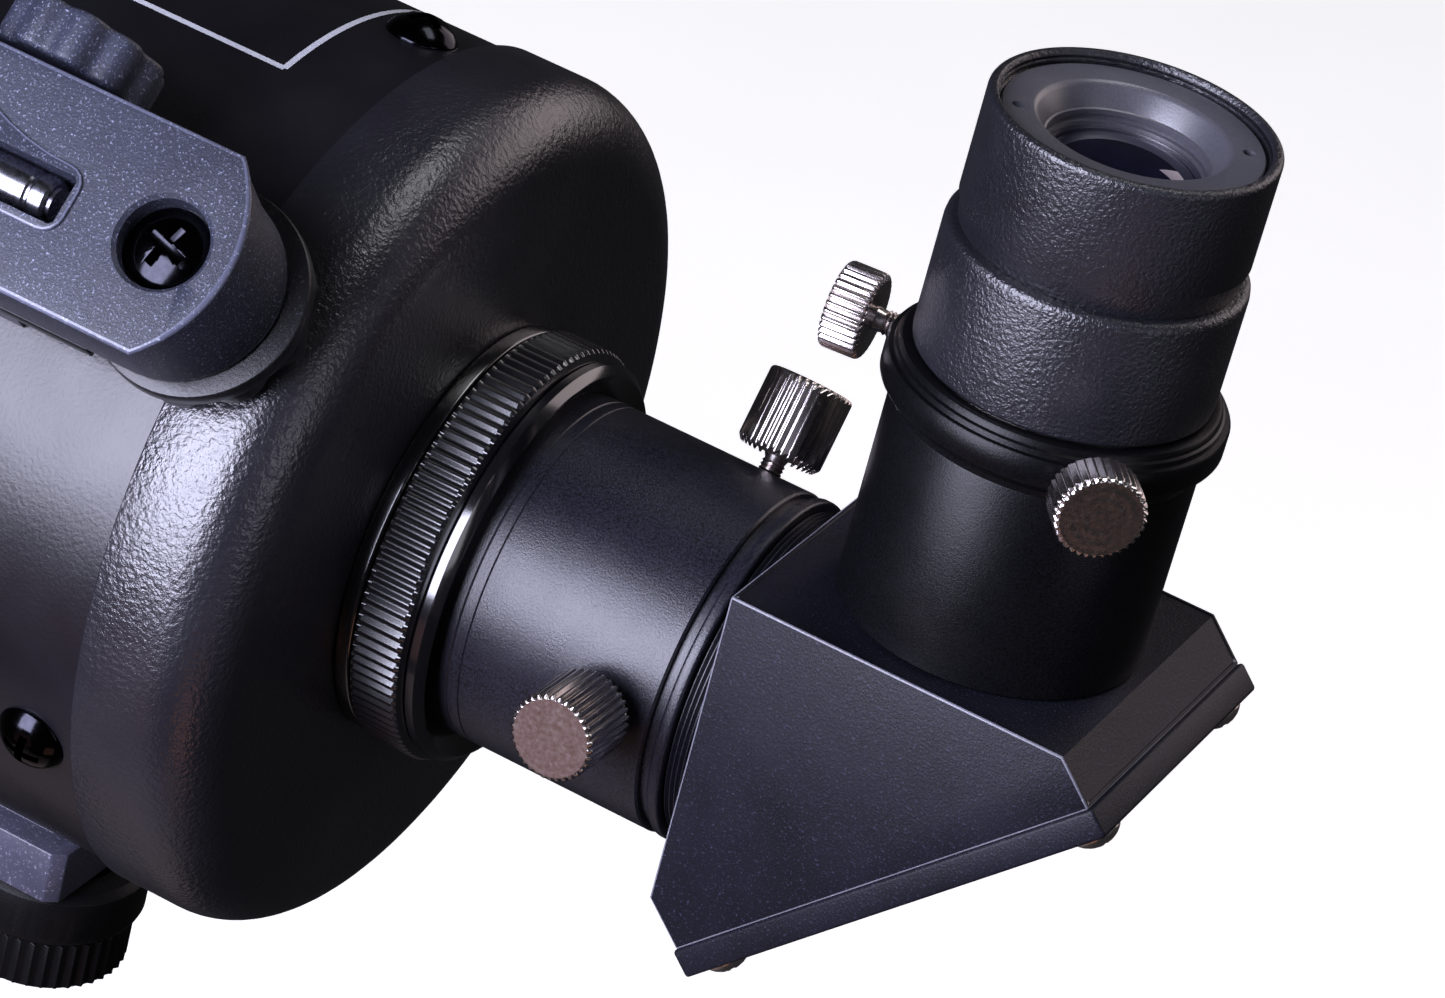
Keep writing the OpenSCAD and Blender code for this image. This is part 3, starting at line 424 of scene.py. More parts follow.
def nickel_plate(name, foot, axis, ring_mm):
    """Bright nickel over turned brass, with tool rings on the faces that cross the axis."""
    made, tree, shader = empty_material(name)
    place = add_node(tree, "ShaderNodeTexCoord")
    turn = axis.to_track_quat("Z", "Y").to_matrix().transposed().to_euler()
    centred = add_node(tree, "ShaderNodeMapping", {"Rotation": turn, "Location": -(turn.to_matrix() @ foot)},
                       {"Vector": (place, "Object")})
    rings = add_node(tree, "ShaderNodeTexWave",
                     {"Scale": grain(ring_mm) / 20, "Distortion": 0.4, "Detail": 2.0},
                     {"Vector": (centred, "Vector")}, wave_type="RINGS", rings_direction="Z")
    scuff = add_node(tree, "ShaderNodeTexNoise", {"Scale": grain(0.5), "Detail": 4.0},
                     {"Vector": (place, "Object")})
    bump = add_node(tree, "ShaderNodeBump", {"Strength": 0.35, "Distance": 0.02 * mm},
                    {"Height": (rings, "Fac")})
    tint = add_node(tree, "ShaderNodeValToRGB", links={"Fac": (scuff, "Fac")})
    tint.color_ramp.elements[0].color = linear("#b7aca8")
    tint.color_ramp.elements[1].color = linear("#d8d2ce")
    gloss = add_node(tree, "ShaderNodeMapRange", {"To Min": 0.16, "To Max": 0.32}, {"Value": (scuff, "Fac")})
    join_maps(tree, shader, tint.outputs["Color"], gloss, bump)
    shader.inputs["Metallic"].default_value = 1.0
    return made


def thumbscrew(node, foot, axis, tip, base, face, head_r, ribs):
    """Stem with a turned thread, neck and knurled head, along axis from foot; stations in mm."""
    out = axis.orthogonal().normalized()
    stem_r = 1.5
    collar = base - 0.35
    pitch = 0.5
    turns = int((collar - tip - 0.6) / pitch)
    stem = [(tip, 0), (tip, stem_r - 0.3)] + [
        point for i in range(turns) for point in (
            (tip + 0.3 + pitch * i, stem_r), (tip + 0.3 + pitch * (i + 0.5), stem_r - 0.22))]
    head = [(collar, stem_r), (base, head_r * 0.72), (base, head_r - 0.9)]
    edge = 0.55
    head += arc(base + edge, head_r - edge, edge, 180, 90, 4)
    head += arc(face - edge, head_r - edge, edge, 90, 0, 4)
    flat = [(face, head_r - 0.62), (face, head_r - 0.9), (face, 1.0), (face, 0)]
    piece = spun(node + "_turned", stem + head + flat, foot, axis, out, ribs * 6, 20)
    mill_grooves(piece, foot, axis, out, ribs, head_r, head_r - 0.45, 0.42, 0.45)
    finish_piece(piece, node, "nickel", nickel_plate("nickel plate on " + node, foot, axis, 0.22), node)
    return piece


nose_r = 15.85
tip_gap = 0.12
grip_ribs = 34
barrel_screw_x = -34.9
barrel_screw_base = 24.5
barrel_screw_face = 33.9
barrel_screw_r = 5.35
for node, angle in (("barrel_screw_near", 177), ("barrel_screw_far", 57)):
    thumbscrew(node, crossing + along * (barrel_screw_x * mm), clock(angle), nose_r + tip_gap,
               barrel_screw_base, barrel_screw_face, barrel_screw_r, grip_ribs)

# --- Diagonal -------------------------------------------------------------------------
# Die-cast prism housing in matt grey-black paint, with a flat plate screwed on its
# slanted side by four small bright screws. Its edges are crisp; pale paint on every
# bevel is a painted highlight along them.


def matt_paint(name, colour, light, speck, roughness, grit_mm, grit_depth, index=1.5):
    """Matt textured paint with fine pale specks, on a casting."""
    made, tree, shader = empty_material(name)
    place = add_node(tree, "ShaderNodeTexCoord")
    grit = add_node(tree, "ShaderNodeTexNoise", {"Scale": grain(grit_mm), "Detail": 4.0, "Roughness": 0.65},
                    {"Vector": (place, "Object")})
    cloud = add_node(tree, "ShaderNodeTexNoise", {"Scale": grain(11), "Detail": 4.0},
                     {"Vector": (place, "Object")})
    tint = add_node(tree, "ShaderNodeValToRGB", links={"Fac": (cloud, "Fac")})
    tint.color_ramp.elements[0].position = 0.3
    tint.color_ramp.elements[0].color = linear(colour)
    tint.color_ramp.elements[1].position = 0.7
    tint.color_ramp.elements[1].color = linear(light)
    specks = add_node(tree, "ShaderNodeValToRGB", links={"Fac": (grit, "Fac")})
    specks.color_ramp.elements[0].position = 0.58
    specks.color_ramp.elements[0].color = (0, 0, 0, 1)
    specks.color_ramp.elements[1].position = 0.72
    specks.color_ramp.elements[1].color = (1, 1, 1, 1)
    mixed = add_node(tree, "ShaderNodeMix", {"B": linear(speck)},
                     {"Factor": (specks, "Color"), "A": (tint, "Color")}, data_type="RGBA")
    gloss = add_node(tree, "ShaderNodeMapRange", {"To Min": roughness * 0.9, "To Max": roughness * 1.1},
                     {"Value": (cloud, "Fac")})
    bump = add_node(tree, "ShaderNodeBump", {"Strength": 0.5, "Distance": grit_depth * mm},
                    {"Height": (grit, "Fac")})
    shader.inputs["IOR"].default_value = index
    join_maps(tree, shader, mixed.outputs["Result"], gloss, bump)
    return made


def outline_solid(name, corners, middle, depth, direction):
    """A flat outline drawn corner by corner, filled, then extruded by depth along direction."""
    bpy.ops.object.select_all(action="DESELECT")
    bpy.ops.mesh.primitive_plane_add(size=mm, location=(0, 0, 0))
    piece = bpy.context.active_object
    piece.name = piece.data.name = name
    bpy.context.tool_settings.mesh_select_mode = (True, False, False)
    bpy.ops.object.mode_set(mode="EDIT")
    bpy.ops.mesh.merge(type="CENTER")
    bpy.ops.transform.translate(value=corners[0] - direction * (depth / 2) + middle)
    for here, there in zip(corners, corners[1:] + corners[:1]):
        bpy.ops.mesh.extrude_vertices_move(TRANSFORM_OT_translate={"value": there - here})
    bpy.ops.mesh.select_all(action="SELECT")
    bpy.ops.mesh.remove_doubles(threshold=0.002 * mm)
    bpy.ops.mesh.edge_face_add()
    bpy.ops.mesh.extrude_region_move(TRANSFORM_OT_translate={"value": direction * depth})
    bpy.ops.mesh.select_all(action="SELECT")
    bpy.ops.mesh.normals_make_consistent(inside=False)
    bpy.ops.object.mode_set(mode="OBJECT")
    return piece


def soften(piece, width, segments=2, highlight_slot=None, angle=30, crease=35):
    """Rounded edges from a bevel; the given slot number holds the pale paint put on them as a painted
    highlight.
    """
    bpy.ops.object.select_all(action="DESELECT")
    piece.select_set(True)
    bpy.context.view_layer.objects.active = piece
    bevel = piece.modifiers.new("edges", "BEVEL")
    bevel.width = width * mm
    bevel.segments = segments
    bevel.limit_method = "ANGLE"
    bevel.angle_limit = math.radians(angle)
    bevel.harden_normals = False
    if highlight_slot is not None:
        bevel.material = highlight_slot
    bpy.ops.object.modifier_apply(modifier=bevel.name)
    bpy.ops.object.shade_smooth_by_angle(angle=math.radians(crease))


def carve(piece, cutter, operation="DIFFERENCE"):
    """The cutter's shape is taken out of the piece, or joined to it, and the cutter goes."""
    bpy.ops.object.select_all(action="DESELECT")
    piece.select_set(True)
    bpy.context.view_layer.objects.active = piece
    cut = piece.modifiers.new("cut", "BOOLEAN")
    cut.operation = operation
    cut.solver = "EXACT"
    cut.object = cutter
    bpy.ops.object.modifier_apply(modifier=cut.name)
    bpy.data.objects.remove(cutter)


def side_view(x, z):
    """A corner in the plane of the optical and eyepiece axes, in mm from their crossing."""
    return along * (x * mm) + up * (z * mm)


half_width = 21.5
top_face = 21.6
front_face = -22.95
corner_high = 2 * top_face - 2
corner_low = front_face - 20.4
joint_level = 7.3
cover_thick = 3.6
cover_level = joint_level + cover_thick * math.sqrt(2)
cast_paint = matt_paint("matt textured paint on die-cast zinc", "#0e0e16", "#171721", "#3c3c52",
                        0.46, 0.34, 0.14, 1.36)
edge_highlight_paint = matt_paint("painted highlight on an edge", "#6a6a74", "#86868f", "#b4b4bc", 0.30, 0.3, 0.01)
housing = outline_solid("housing", [
    side_view(front_face, top_face), side_view(corner_high - top_face, top_face),
    side_view((corner_high + joint_level) / 2, (corner_high - joint_level) / 2),
    side_view((corner_low + joint_level) / 2, (corner_low - joint_level) / 2),
    side_view(front_face, corner_low - front_face)], crossing, 2 * half_width * mm, across)
bpy.ops.object.mode_set(mode="EDIT")
bpy.ops.mesh.select_all(action="DESELECT")
bpy.ops.object.mode_set(mode="OBJECT")
for face in housing.data.polygons:
    face.select = face.normal.z > 0.6
bpy.context.tool_settings.mesh_select_mode = (False, False, True)
bpy.ops.object.mode_set(mode="EDIT")
bpy.ops.mesh.inset(thickness=0.55 * mm, depth=0)
bpy.ops.mesh.inset(thickness=0.12 * mm, depth=-0.14 * mm)
bpy.ops.object.mode_set(mode="OBJECT")
housing.data.materials.append(cast_paint)
housing.data.materials.append(edge_highlight_paint)
# Pale paint on every bevel of the housing is a painted highlight along its edges.
soften(housing, 0.24, 2, highlight_slot=1, angle=50)
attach(housing, "diagonal")
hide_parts("diagonal_housing")

edge_out = 0.35
cover = outline_solid("cover", [
    side_view((corner_high + joint_level) / 2 + edge_out, (corner_high - joint_level) / 2 + edge_out),
    side_view((corner_high + cover_level) / 2 + edge_out, (corner_high - cover_level) / 2 + edge_out),
    side_view((corner_low + cover_level) / 2 - edge_out, (corner_low - cover_level) / 2 - edge_out),
    side_view((corner_low + joint_level) / 2 - edge_out, (corner_low - joint_level) / 2 - edge_out)],
    crossing, 2 * (half_width + 0.3) * mm, across)
soften(cover, 0.45, 3, angle=50)
finish_piece(cover, "diagonal", "cell_paint", cast_paint, "diagonal_cover")

# --- Screws with a cross recess -------------------------------------------------------
# Pan-head machine screws, pressed and threaded. Those on the tube and the finder are
# chemically blackened and glossy; those on the diagonal's cover are bright.


def bright_screw(name, colour, light, roughness):
    """Plated steel with faint tumbling marks."""
    made, tree, shader = empty_material(name)
    place = add_node(tree, "ShaderNodeTexCoord")
    marks = add_node(tree, "ShaderNodeTexNoise", {"Scale": grain(0.7), "Detail": 3.0},
                     {"Vector": (place, "Object")})
    tint = add_node(tree, "ShaderNodeValToRGB", links={"Fac": (marks, "Fac")})
    tint.color_ramp.elements[0].color = linear(colour)
    tint.color_ramp.elements[1].color = linear(light)
    gloss = add_node(tree, "ShaderNodeMapRange", {"To Min": roughness * 0.7, "To Max": roughness * 1.4},
                     {"Value": (marks, "Fac")})
    bump = add_node(tree, "ShaderNodeBump", {"Strength": 0.2, "Distance": 0.01 * mm},
                    {"Height": (marks, "Fac")})
    join_maps(tree, shader, tint.outputs["Color"], gloss, bump)
    shader.inputs["Metallic"].default_value = 1.0
    return made


def pan_head(name, foot, axis, head_r, head_h, turn, shank_r, shank):
    """One screw along axis with its head standing on foot."""
    out = axis.orthogonal().normalized()
    out = Matrix.Rotation(math.radians(turn), 3, axis) @ out
    dome = [(head_h - head_r * 0.9 + head_r * 0.9 * math.cos(t), head_r * math.sin(t) / math.sin(1.1))
            for t in (1.1, 0.95, 0.75, 0.5, 0.25)]
    low = dome[0][0]
    dome = [(0.35 + (station - low) * (head_h - 0.35) / (head_h - low), radius * 0.985)
            for station, radius in dome]
    rim = [(-shank, 0), (-shank, shank_r), (0, shank_r), (0, head_r), (0.2, head_r)]
    profile = rim + dome + [(head_h, 0)]
    head = spun(name, profile, foot, axis, out, 64, 30)
    side = axis.cross(out)
    for wide, deep in ((out, side), (side, out)):
        half_l = head_r * 0.55
        half_t = head_r * 0.12
        slot_cut = outline_solid("slot", [
            wide * (half_l * mm) + deep * (half_t * mm), wide * (-half_l * mm) + deep * (half_t * mm),
            wide * (-half_l * mm) + deep * (-half_t * mm), wide * (half_l * mm) + deep * (-half_t * mm)],
            foot + axis * (head_h * mm), head_h * 1.3 * mm, axis)
        carve(head, slot_cut)
    soften(head, 0.09, 2, angle=40, crease=30)
    return head


def joined(name, parts):
    """Several like pieces as one object."""
    bpy.ops.object.select_all(action="DESELECT")
    for part in parts:
        part.select_set(True)
    bpy.context.view_layer.objects.active = parts[0]
    bpy.ops.object.join()
    bpy.context.view_layer.update()
    parts[0].name = parts[0].data.name = name
    return parts[0]


black_screw = bright_screw("gloss black oxide on steel", "#1c1c20", "#2e2e34", 0.14)
bright_zinc = bright_screw("bright zinc plate on steel", "#d2c6bc", "#ece6e0", 0.34)
screw_angles = (80, 200, 320)
seat_r = tube_r - 0.1
tube_screw_r = 4.5
tube_screw_h = 2.7
for ring, node, station in (("rear", "rear_cell_screws", tube_rear - 6),
                            ("front", "front_cell_screws", tube_front + 8.2)):
    heads = [pan_head("tube_screw", crossing + along * (station * mm) + clock(angle) * (seat_r * mm),
                      clock(angle), tube_screw_r, tube_screw_h, 20 * i + 12, 1.4, 4.6)
             for i, angle in enumerate(screw_angles)]
    finish_piece(joined(ring + "_tube_screws", heads), "tube", "blackened_steel", black_screw, node)

plate_out = (along - up).normalized()
plate_along = (along + up).normalized()
plate_middle = (corner_high + corner_low) / 4
cover_mid = crossing + side_view(plate_middle + cover_level / 2, plate_middle - cover_level / 2)
cover_screw_long = 26.8
cover_screw_wide = 17.2
cover_heads = [
    pan_head("cover_screw",
             cover_mid + plate_along * (cover_screw_long * i * mm) + across * (cover_screw_wide * j * mm),
             plate_out, 2.9, 1.8, 30 * i + 50 * j, 1.2, 8) for i in (-1, 1) for j in (-1, 1)]
finish_piece(joined("cover_screw_set", cover_heads), "diagonal", "nickel", bright_zinc, "cover_screws")

# --- Eyepiece holder ------------------------------------------------------------------
# Turned aluminium socket on top of the diagonal, gloss black anodised, with a collar
# that carries two thumbscrews. The bore has a small chamfer.
holder_top = (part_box("eyepiece_holder")[1].z - crossing.z) / mm
collar_r = 19.9
collar_low = 48.2
holder_r = 18.1
bore_r = 15.9
gloss_black = turned_anodised("gloss black anodised aluminium", "#050506", "#101014", 0.33, 0.3, 0.05, 1.3)
holder = spun("holder", [
    (19.2, bore_r), (19.2, 17), (top_face, 17), (top_face, holder_r - 0.2), (top_face + 0.25, holder_r),
    (collar_low - 0.9, holder_r), (collar_low - 0.8, holder_r - 0.06), (collar_low - 0.7, holder_r),
    (collar_low, holder_r + 0.1), (collar_low + 1.3, collar_r - 0.15), (collar_low + 1.6, collar_r),
    (holder_top - 2.0, collar_r), (holder_top - 1.6, collar_r - 0.25), (holder_top - 1.5, collar_r - 0.75),
    (holder_top - 0.95, collar_r - 0.9), (holder_top - 0.75, collar_r - 1.2),
    (holder_top - 0.4, collar_r - 1.3),
    (holder_top - 0.1, collar_r - 1.5), (holder_top, collar_r - 1.8), (holder_top, 17.0),
    (holder_top - 0.4, bore_r),
    (19.2, bore_r)], crossing, up, -across, 160)
finish_piece(holder, "diagonal", "black_anodised", gloss_black, "eyepiece_holder")
holder_screw_z = collar_low + 3.1
holder_screw_base = 22.4
holder_screw_face = 27.2
holder_screw_r = 5.2
for node, angle in (("holder_screw_near", 306), ("holder_screw_front", 186)):
    turn = math.radians(angle)
    thumbscrew(node, crossing + up * (holder_screw_z * mm), along * math.cos(turn) + across * math.sin(turn),
               nose_r + tip_gap, holder_screw_base, holder_screw_face, holder_screw_r, grip_ribs)

# --- Eyepiece -------------------------------------------------------------------------
# Two threaded-together body shells sprayed with a fine black crackle, a satin retaining
# ring with two spanner holes and a coated eye lens deep in its cone.
body_low = (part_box("eyepiece_lower_body")[0].z - crossing.z) / mm
body_step = (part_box("eyepiece_upper_body")[0].z - crossing.z) / mm
body_top = (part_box("eyepiece_upper_body")[1].z - crossing.z) / mm
body_low_r = 17.5
body_top_r = 16.7
eyepiece_paint = sprayed_enamel("fine crackle paint on aluminium", "#121216", "#24242c",
                                0.34, 0.50, 0.38, 1.8)
lower_body = spun("lower_body", [
    (body_low, 14.6), (body_low, body_low_r - 0.5), (body_low + 0.4, body_low_r - 0.1),
    (body_low + 1, body_low_r),
    (body_step - 1.2, body_low_r), (body_step - 0.5, body_low_r - 0.12), (body_step - 0.15, body_low_r - 0.4),
    (body_step, body_low_r - 0.9), (body_step, 14.6), (body_low, 14.6)], crossing, up, -across, 160)
finish_piece(lower_body, "eyepiece", "black_anodised", eyepiece_paint, "eyepiece_lower_body")
ring_top = body_top - 1.3
upper_body = spun("upper_body", [
    (body_step, 13.4), (body_step, body_top_r - 0.75), (body_step + 0.3, body_top_r - 0.55),
    (body_step + 2.2, body_top_r - 0.35), (body_step + 2.9, body_top_r), (body_top - 0.8, body_top_r)]
    + arc(body_top - 0.7, body_top_r - 0.7, 0.7, 90, 0, 5)
    + [(body_top, 15.75), (body_top - 0.25, 15.5), (body_top - 0.55, 15.4), (body_top - 0.6, 15.75),
       (body_top - 0.85, 15.75), (body_top - 0.95, 15.2), (body_top - 1.15, 15.2), (body_top - 1.2, 15.5),
       (ring_top - 0.3, 15.5), (ring_top - 0.5, 15.05), (ring_top - 2, 15.05), (ring_top - 2, 13.4),
       (body_step, 13.4)],
    crossing, up, -across, 160)
finish_piece(upper_body, "eyepiece", "black_anodised", eyepiece_paint, "eyepiece_upper_body")

# The mid-grey colour of this black anodising is a painted sheen: the ring is coloured grey so that it looks
# lit from behind.
sheen_grey_anodised = turned_anodised("black anodised aluminium with painted grey sheen", "#4a4a52", "#606068", 0.38, 0.25, 0.03)
cone_r = 10.5
retainer = spun("retainer", [
    (ring_top - 2, 13.3), (ring_top - 2, 14.9), (ring_top - 0.15, 14.9), (ring_top, 14.75),
    (ring_top, cone_r + 0.9),
    (ring_top - 0.12, cone_r + 0.55), (ring_top - 0.5, cone_r + 0.2), (ring_top - 2.6, cone_r - 1.0),
    (ring_top - 2.7, cone_r - 1.25), (ring_top - 3.3, cone_r - 1.25), (ring_top - 3.4, cone_r - 1.0),
    (ring_top - 3.9, cone_r - 1.0), (ring_top - 4.0, cone_r - 1.5), (ring_top - 5.5, cone_r - 1.8),
    (ring_top - 5.5, 13.3), (ring_top - 2, 13.3)], crossing, up, -across, 160)
for angle in (28, 208):
    turn = math.radians(angle)
    place = crossing + (along * math.cos(turn) + across * math.sin(turn)) * (13.0 * mm) + up * (ring_top * mm)
    bpy.ops.object.select_all(action="DESELECT")
    bpy.ops.mesh.primitive_cylinder_add(vertices=24, radius=0.75 * mm, depth=2.4 * mm, location=place)
    bpy.ops.object.transform_apply(location=True)
    carve(retainer, bpy.context.active_object)
bpy.ops.object.shade_smooth_by_angle(angle=math.radians(35))
finish_piece(retainer, "eyepiece", "black_anodised", sheen_grey_anodised, "eyepiece_ring")


def coated_glass(name, body, coating, clearness, index):
    """Optical glass with a coloured anti-reflection coating."""
    made, tree, shader = empty_material(name)
    place = add_node(tree, "ShaderNodeTexCoord")
    haze = add_node(tree, "ShaderNodeTexNoise", {"Scale": grain(3), "Detail": 3.0},
                    {"Vector": (place, "Object")})
    gloss = add_node(tree, "ShaderNodeMapRange", {"To Min": 0.0, "To Max": 0.03}, {"Value": (haze, "Fac")})
    tint = add_node(tree, "ShaderNodeValToRGB", links={"Fac": (haze, "Fac")})
    tint.color_ramp.elements[0].color = linear(body)
    tint.color_ramp.elements[1].color = linear(coating)
    join_maps(tree, shader, tint.outputs["Color"], gloss)
    shader.inputs["Transmission Weight"].default_value = clearness
    shader.inputs["IOR"].default_value = index
    shader.inputs["Specular Tint"].default_value = linear("#b8b4ff")
    shader.inputs["Coat Weight"].default_value = 0.6
    shader.inputs["Coat Roughness"].default_value = 0.02
    return made


eye_glass = coated_glass("coated crown glass, violet", "#0c0b14", "#24223c", 0.35, 1.6)
lens_r = cone_r - 1.6
lens_low = ring_top - 6.0
dome_r = 22.0
lens_dome = [(lens_low + 3.4 - (dome_r - math.sqrt(dome_r ** 2 - (lens_r * i / 12) ** 2)), lens_r * i / 12)
             for i in range(12, -1, -1)]
eye_glass_piece = spun("eye_glass", [(lens_low - 2, 0), (lens_low - 2, lens_r)] + lens_dome,
                       crossing, up, -across, 96)
finish_piece(eye_glass_piece, "eyepiece", "eye_glass", eye_glass, "eye_lens")

# --- Printed frame on the tube --------------------------------------------------------
# Screen-printed white line that frames a blank panel on top of the tube; a film of ink
# a few hundredths of a millimetre thick.
ink_r = tube_r + 0.04
ink_half = 0.4
panel_front = tube_rear - 104
panel_back = -96.8
panel_near = 102
panel_far = 34
line_turn = math.degrees(2 * ink_half / tube_r)


def ink_strip(name, start, end, first, last, steps):
    """A thin film on the tube between two stations and two clock angles; a spin runs from last to first."""
    return spun(name, [(start, ink_r), (end, ink_r)], crossing, along, clock(last), steps, 35,
                math.radians(last - first))


white_ink, ink_tree, ink_shader = empty_material("screen-printed white ink")
ink_place = add_node(ink_tree, "ShaderNodeTexCoord")
ink_mesh = add_node(ink_tree, "ShaderNodeTexNoise", {"Scale": grain(0.4), "Detail": 3.0},
                    {"Vector": (ink_place, "Object")})
ink_tint = add_node(ink_tree, "ShaderNodeValToRGB", links={"Fac": (ink_mesh, "Fac")})
ink_tint.color_ramp.elements[0].color = linear("#b9bcc8")
ink_tint.color_ramp.elements[1].color = linear("#e6e8f0")
ink_tree.links.new(ink_tint.outputs["Color"], ink_shader.inputs["Base Color"])
ink_shader.inputs["Roughness"].default_value = 0.45
ink_lines = [ink_strip("line", x - ink_half, x + ink_half, panel_far, panel_near, 64)
             for x in (panel_back, panel_front)]
ink_lines += [ink_strip("line", panel_front, panel_back, turn - line_turn / 2, turn + line_turn / 2, 2)
              for turn in (panel_near, panel_far)]
finish_piece(joined("printed_frame", ink_lines), "tube", "tube_paint", white_ink)

# --- Red-dot finder -------------------------------------------------------------------
# Moulded ABS body with metallic flecks, on a foot that is screwed to the tube at an
# angle. It has a moulded window with the emitter, a sunk screw and knurled knobs.
finder_turn = math.radians(47)
finder_across = across * math.cos(finder_turn) + up * math.sin(finder_turn)
finder_out = up * math.cos(finder_turn) - across * math.sin(finder_turn)


def finder_place(x, y, z):
    """A place in the finder's own frame, in mm from the crossing, as an offset from it."""
    return along * (x * mm) + finder_across * (y * mm) + finder_out * (z * mm)


def finder_outline(front, back, half, round_r, z, steps=20):
    """Plan of a slab with a straight front and a rounded back, as places."""
    swing = math.asin(min(1.0, half / round_r))
    middle = back - round_r
    turns = [-swing + 2 * swing * i / steps for i in range(steps + 1)]
    plan = [(front, -half)] + [(middle + round_r * math.cos(t), round_r * math.sin(t)) for t in turns]
    return [finder_place(x, y, z) for x, y in plan + [(front, half)]]


finder_top = 76.5
finder_front = -171.6
finder_half = 12.7
shell_base = 62.35
wedge = 14.15
flecked_plastic = matt_paint("moulded ABS with metallic flecks", "#2b2d39", "#343746", "#a4a8c4",
                             0.42, 0.30, 0.16)
# Pale plastic on the bevels of the shell and platform is a painted highlight along their rounded edges.
edge_highlight_plastic = matt_paint("painted highlight on an edge of moulded ABS", "#565868", "#6c6f84", "#b4b8cc", 0.24, 0.4, 0.02)
top_plan = finder_outline(finder_front, -75.6, finder_half, 18.0, finder_top)
low_plan = finder_outline(finder_front, -74.0, 11.7, 11.7, shell_base)
shell = outline_solid("finder_body", top_plan, crossing - finder_out * (wedge / 2 * mm),
                      wedge * mm, finder_out)
for vertex in shell.data.vertices:
    offset = vertex.co - crossing
    if offset.dot(finder_out) < (finder_top - 1) * mm:
        flat = offset - finder_out * offset.dot(finder_out)
        nearest = min(range(len(top_plan)), key=lambda i: (
            top_plan[i] - finder_out * top_plan[i].dot(finder_out) - flat).length)
        vertex.co = crossing + low_plan[nearest]
shell.data.materials.append(flecked_plastic)
shell.data.materials.append(edge_highlight_plastic)
# The shell's bevels get the pale plastic: a painted edge highlight.
soften(shell, 0.55, 3, highlight_slot=1, angle=40)

platform_near = -4.8
platform_far = 3.4
platform_back = -95.6
flare = [(platform_back - 2.4 - d, platform_far + 0.0172 * d * d) for d in (0, 3, 6, 9, 12, 15, 18, 20.5)]
corner = 2.4
near_arc = [(platform_back - corner + corner * math.sin(t), platform_near + corner - corner * math.cos(t))
            for t in (0, 0.4, 0.8, 1.2, 1.57)]
far_arc = [(platform_back - corner + corner * math.cos(t), platform_far - corner + corner * math.sin(t))
           for t in (0, 0.4, 0.8, 1.2)]
platform_plan = [(-146, platform_near)] + near_arc + far_arc + flare + [(-146, flare[-1][1])]
platform = outline_solid("platform", [finder_place(x, y, 0) for x, y in platform_plan],
                         crossing + finder_out * ((finder_top - 0.1) * mm), 1.1 * mm, finder_out)
platform.data.materials.append(flecked_plastic)
platform.data.materials.append(edge_highlight_plastic)
# The platform's bevels get the pale plastic: a painted edge highlight.
soften(platform, 0.3, 2, highlight_slot=1, angle=40)
carve(shell, platform, "UNION")

window_plan = [(-139.8, -3.75), (-96.9, -3.75), (-96.4, -3.25), (-96.4, 1.85), (-96.9, 2.35), (-139.8, 2.35)]
window_cut = outline_solid("window_cut", [finder_place(x, y, 0) for x, y in window_plan],
                           crossing + finder_out * (74 * mm), 11.4 * mm, finder_out)
carve(shell, window_cut)
altitude_x = -84.2
screw_foot = crossing + finder_place(altitude_x, 0, finder_top)
sink = spun("sink", [(-3, 0), (-3, 5.2), (-0.45, 5.3), (0, 5.8), (1, 6.8), (1, 0)],
            screw_foot, finder_out, along, 64, 30)
carve(shell, sink)
bpy.ops.object.shade_smooth_by_angle(angle=math.radians(32))
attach(shell, "finder")
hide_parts("finder_shell")

sunk_screw = pan_head("sunk_screw", screw_foot - finder_out * (2.5 * mm), finder_out, 4.95, 1.8, 20, 2.0, 6)
finish_piece(sunk_screw, "finder", "blackened_steel", black_screw, "altitude_screw")

satin_steel = bright_screw("satin turned aluminium", "#83848c", "#a6a7b0", 0.26)
emitter = spun("emitter", [
    (-136, 0), (-136, 2.5), (-135.6, 2.8), (-101.9, 2.8), (-101.6, 2.62), (-101.3, 2.62), (-101.0, 2.8),
    (-99.4, 2.8), (-99.0, 2.5), (-99.0, 2.1), (-98.6, 2.0), (-98.6, 0)],
    crossing + finder_place(0, -0.7, finder_top - 3.1), along, finder_out, 64, 30)
finish_piece(emitter, "finder", "steel", satin_steel, "finder_emitter")


def lobed_wheel(name, foot, axis, out, radius, width, lobes, depth, round_edge, bore):
    """A moulded wheel with soft lobes: turned first, then each lobe's hollow is pushed in."""
    steps = lobes * 12
    wheel = spun(name, [(0, bore), (0, radius - round_edge)]
                 + arc(round_edge, radius - round_edge, round_edge, 180, 90, 4)
                 + arc(width - round_edge, radius - round_edge, round_edge, 90, 0, 4)
                 + [(width, radius * 0.72), (width - 0.5, radius * 0.66), (width - 0.5, bore), (0, bore)],
                 foot, axis, out, steps, 40)
    side = axis.cross(out)
    for vertex in wheel.data.vertices:
        offset = vertex.co - foot
        reach_out = math.hypot(offset.dot(out), offset.dot(side)) / mm
        if reach_out > radius * 0.8:
            turn = math.atan2(offset.dot(side), offset.dot(out))
            push = depth * (0.5 - 0.5 * math.cos(lobes * turn)) ** 1.5
            vertex.co -= (out * math.cos(turn) + side * math.sin(turn)) * (push * mm)
    return wheel


